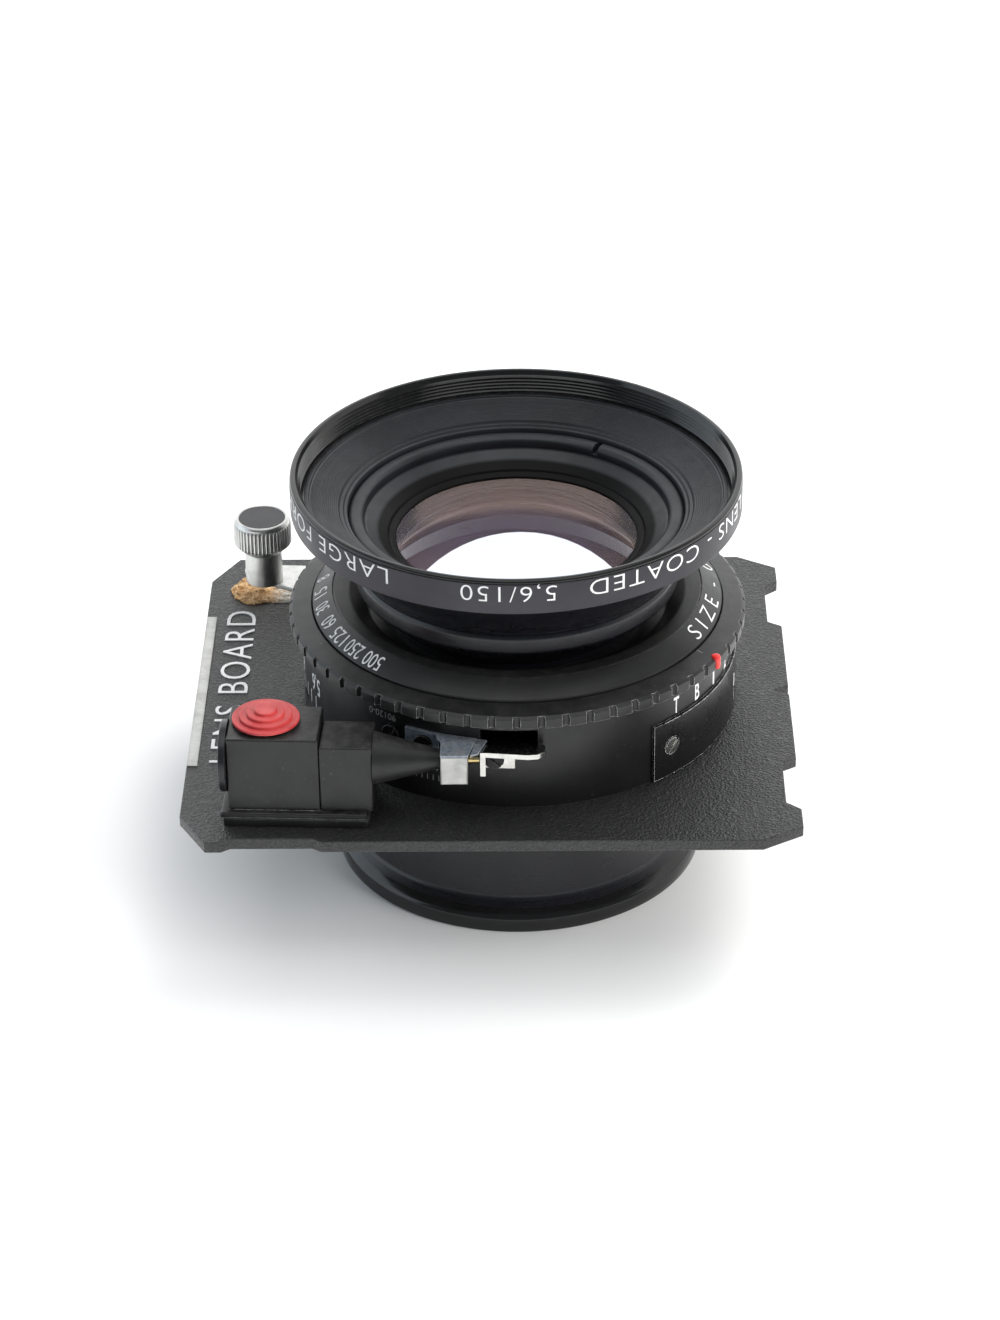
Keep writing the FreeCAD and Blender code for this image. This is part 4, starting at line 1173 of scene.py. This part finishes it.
def build_front_lettering():
    """Engraved words and the lens's numbers round the front ring, upside down from in front."""
    middle = (NAME_LOW + NAME_TOP) / 2 + 0.52
    parts = []
    for text, degrees, span in (("5,6/150", -91.7, 23.4), ("LENS - COATED", -41.4, 60.6),
                                ("LARGE FORMAT", -154.0, 62.5)):
        line = letters(text, WORD_HEIGHT, arc(span, NAME_R), WORD_WEIGHT, INK, WIDE_SPACING)
        parts.append(on_wall(line, degrees, middle, NAME_R, True))
    add_piece("front_ring_lettering", gather(parts), ["white_paint"], "lens")


def build_speed_scales():
    """The speeds on the case's wall and on the dial's cone."""
    wall, face = [], []
    digit = 1.08
    wall_first_deg = -44.2
    wall_step_deg = 8.8
    wall_h = 10.1
    dial_first_deg = 129.9
    dial_step_deg = 8.62
    dial_r = 26.42
    word_r = 26.28
    for k, speed in enumerate(SPEEDS):
        width = (0.45 if speed == "1" else 1.0) + digit * (len(speed) - 1)
        number = letters(speed, 2.45, width, 0.014)
        wall.append(on_wall(number, wall_first_deg + wall_step_deg * k, wall_h, CASE_R))
        number = letters(speed, 2.1, width, -0.002)
        degrees = dial_first_deg + dial_step_deg * k
        face.append(on_cone(number, degrees, dial_r, face_h(dial_r), FACE_SLOPE))
    word = letters("SIZE - 0", WORD_HEIGHT, arc(43.0, word_r), WORD_WEIGHT, INK, 1.5)
    face.append(on_cone(word, -6.9, word_r, face_h(word_r), FACE_SLOPE, False))
    add_piece("wall_speed_scale", gather(wall), ["white_paint"], "lens")
    add_piece("dial_speed_scale", gather(face), ["white_paint"], "lens")


def build_small_marks():
    """Ticks and small figures on the case, the dial and the speed ring."""
    parts = []
    aperture_marks = 5
    for k in range(aperture_marks):
        parts.append(on_wall(bar(0.24, 2.0), -157.8 - 3.9 * k, 5.1, CASE_R))
    parts.append(on_wall(letters("5,6", 2.5, 2.9, 0.004), -157.4, 7.95, CASE_R, True))
    parts.append(on_wall(letters("8", 2.5, 1.1, 0.004), -171.0, 7.6, CASE_R, True))
    cover_deg = -9.4
    parts.append(on_wall(letters("8", 1.9, 0.95), cover_deg, 4.6, COVER_R))
    parts.append(on_wall(bar(0.14, 1.7), cover_deg, 2.4, COVER_R))
    add_piece("case_marks", gather(parts), ["white_paint"], "lens")
    faint = [on_wall(letters("45", 1.2, 1.5), -111.5, 5.0, CASE_R, True),
             on_wall(letters("90120-0", 0.95, 4.4), -127.2, 10.75, CASE_R, True)]
    faint_ticks = 6
    for k in range(faint_ticks):
        faint.append(on_wall(bar(0.12, 0.9), -109.0 - 1.6 * k, 3.3, CASE_R))
    add_piece("case_faint_marks", gather(faint), ["grey_paint"], "lens")
    top_slope = math.atan2(SPEED_DROP, SPEED_R - SPEED_BEVEL - SPEED_BORE_R + 0.03)
    ring = [on_cone(bar(0.12, 0.9), -31.7, 28.25, SPEED_TOP - 0.1, top_slope),
            on_cone(bar(0.14, 0.5), -155.0, 28.5, SPEED_TOP - 0.15, top_slope)]
    add_piece("speed_ring_marks", gather(ring), ["grey_paint"], "speed_ring")


def build_board_lettering():
    """Raised words along the board's left side, their tops towards its edge."""
    bm = letters("LENS BOARD", 4.0, 40.0, -0.006, 0.07, WIDE_SPACING)
    spin = Matrix.Rotation(math.radians(90), 4, "Z")
    bmesh.ops.transform(bm, matrix=spin, verts=bm.verts)
    place = Vector((corner("lens_board", 0, False) + 4.95, 2.0, BOARD_FRONT + 0.05))
    bmesh.ops.translate(bm, vec=place, verts=bm.verts)
    add_piece("board_lettering", bm, ["white_paint"], "lens")


# ---- floor --------------------------------------------------------------------------------
FLOOR_HALF = 3.0


def build_floor():
    """The paper the board stands on, as part of the set."""
    bm = bmesh.new()
    bmesh.ops.create_grid(bm, x_segments=8, y_segments=8, size=FLOOR_HALF)
    add_object("floor", bm, [floor_paper()])


GLOW_R = 5.0
GLOW_Y = 14.0
SHADE_R = 21.5


def floor_disc(name, radius, place, material):
    """A flat disc laid on the floor as part of the set, which lights nothing."""
    bm = bmesh.new()
    bmesh.ops.create_circle(bm, cap_ends=True, segments=64, radius=radius * MM)
    disc = add_object(name, bm, [material])
    disc.location = Vector(place) * MM
    disc.visible_diffuse = False
    disc.visible_glossy = False


def build_glow():
    """Painted light and shade on the floor, seen only through the open lens: a glowing disc that
    lights nothing on a black disc of painted shade.
    """
    # Painted shade: a black disc that darkens the floor seen round the opening.
    floor_disc("shade", SHADE_R, (0.0, 0.0, 0.2), FINISHES["inner_black"])
    # Painted light: a glowing disc that lights nothing.
    floor_disc("glow", GLOW_R, (0.0, GLOW_Y, 0.4), painted_glow_disc())


# ---- build --------------------------------------------------------------------------------
# The width, in millimetres, that is broken off the edges of CAD nodes.
BROKEN_EDGES = {
    "lens_board": 0.16,
    "board_label": 0.03,
    "side_cover_plate": 0.06,
    "cover_screw": 0.06,
    "iris_lever": 0.12,
    "knob_post": 0.1,
    "knob_inlay": 0.05,
    "release_lever": 0.12,
    "release_bracket": 0.05,
    "release_socket": 0.12,
    "transfer_pin": 0.06,
    "lever_plate": 0.08,
    "bracket_screws": 0.08,
    "socket_base_plate": 0.15,
    "socket_block": 0.12,
    "socket_extension": 0.1,
    "socket_collar": 0.08,
    "cocking_lever": 0.1,
    "preview_lever": 0.08,
    "sync_terminal": 0.08,
    "jam_nut": 0.15,
}

make_camera()
make_lights()
make_finishes()
build_floor()
build_glow()
dress_frame()
for node_name, edge_width in BROKEN_EDGES.items():
    break_edges(node_name, edge_width)
build_name_ring()
build_front_barrel()
build_retaining_ring()
build_face_plate()
build_speed_ring()
build_index_bead()
build_rear_barrel()
build_knob_head()
build_button_spring()
build_adhesive()
build_front_lettering()
build_speed_scales()
build_small_marks()
build_board_lettering()

bpy.context.view_layer.update()
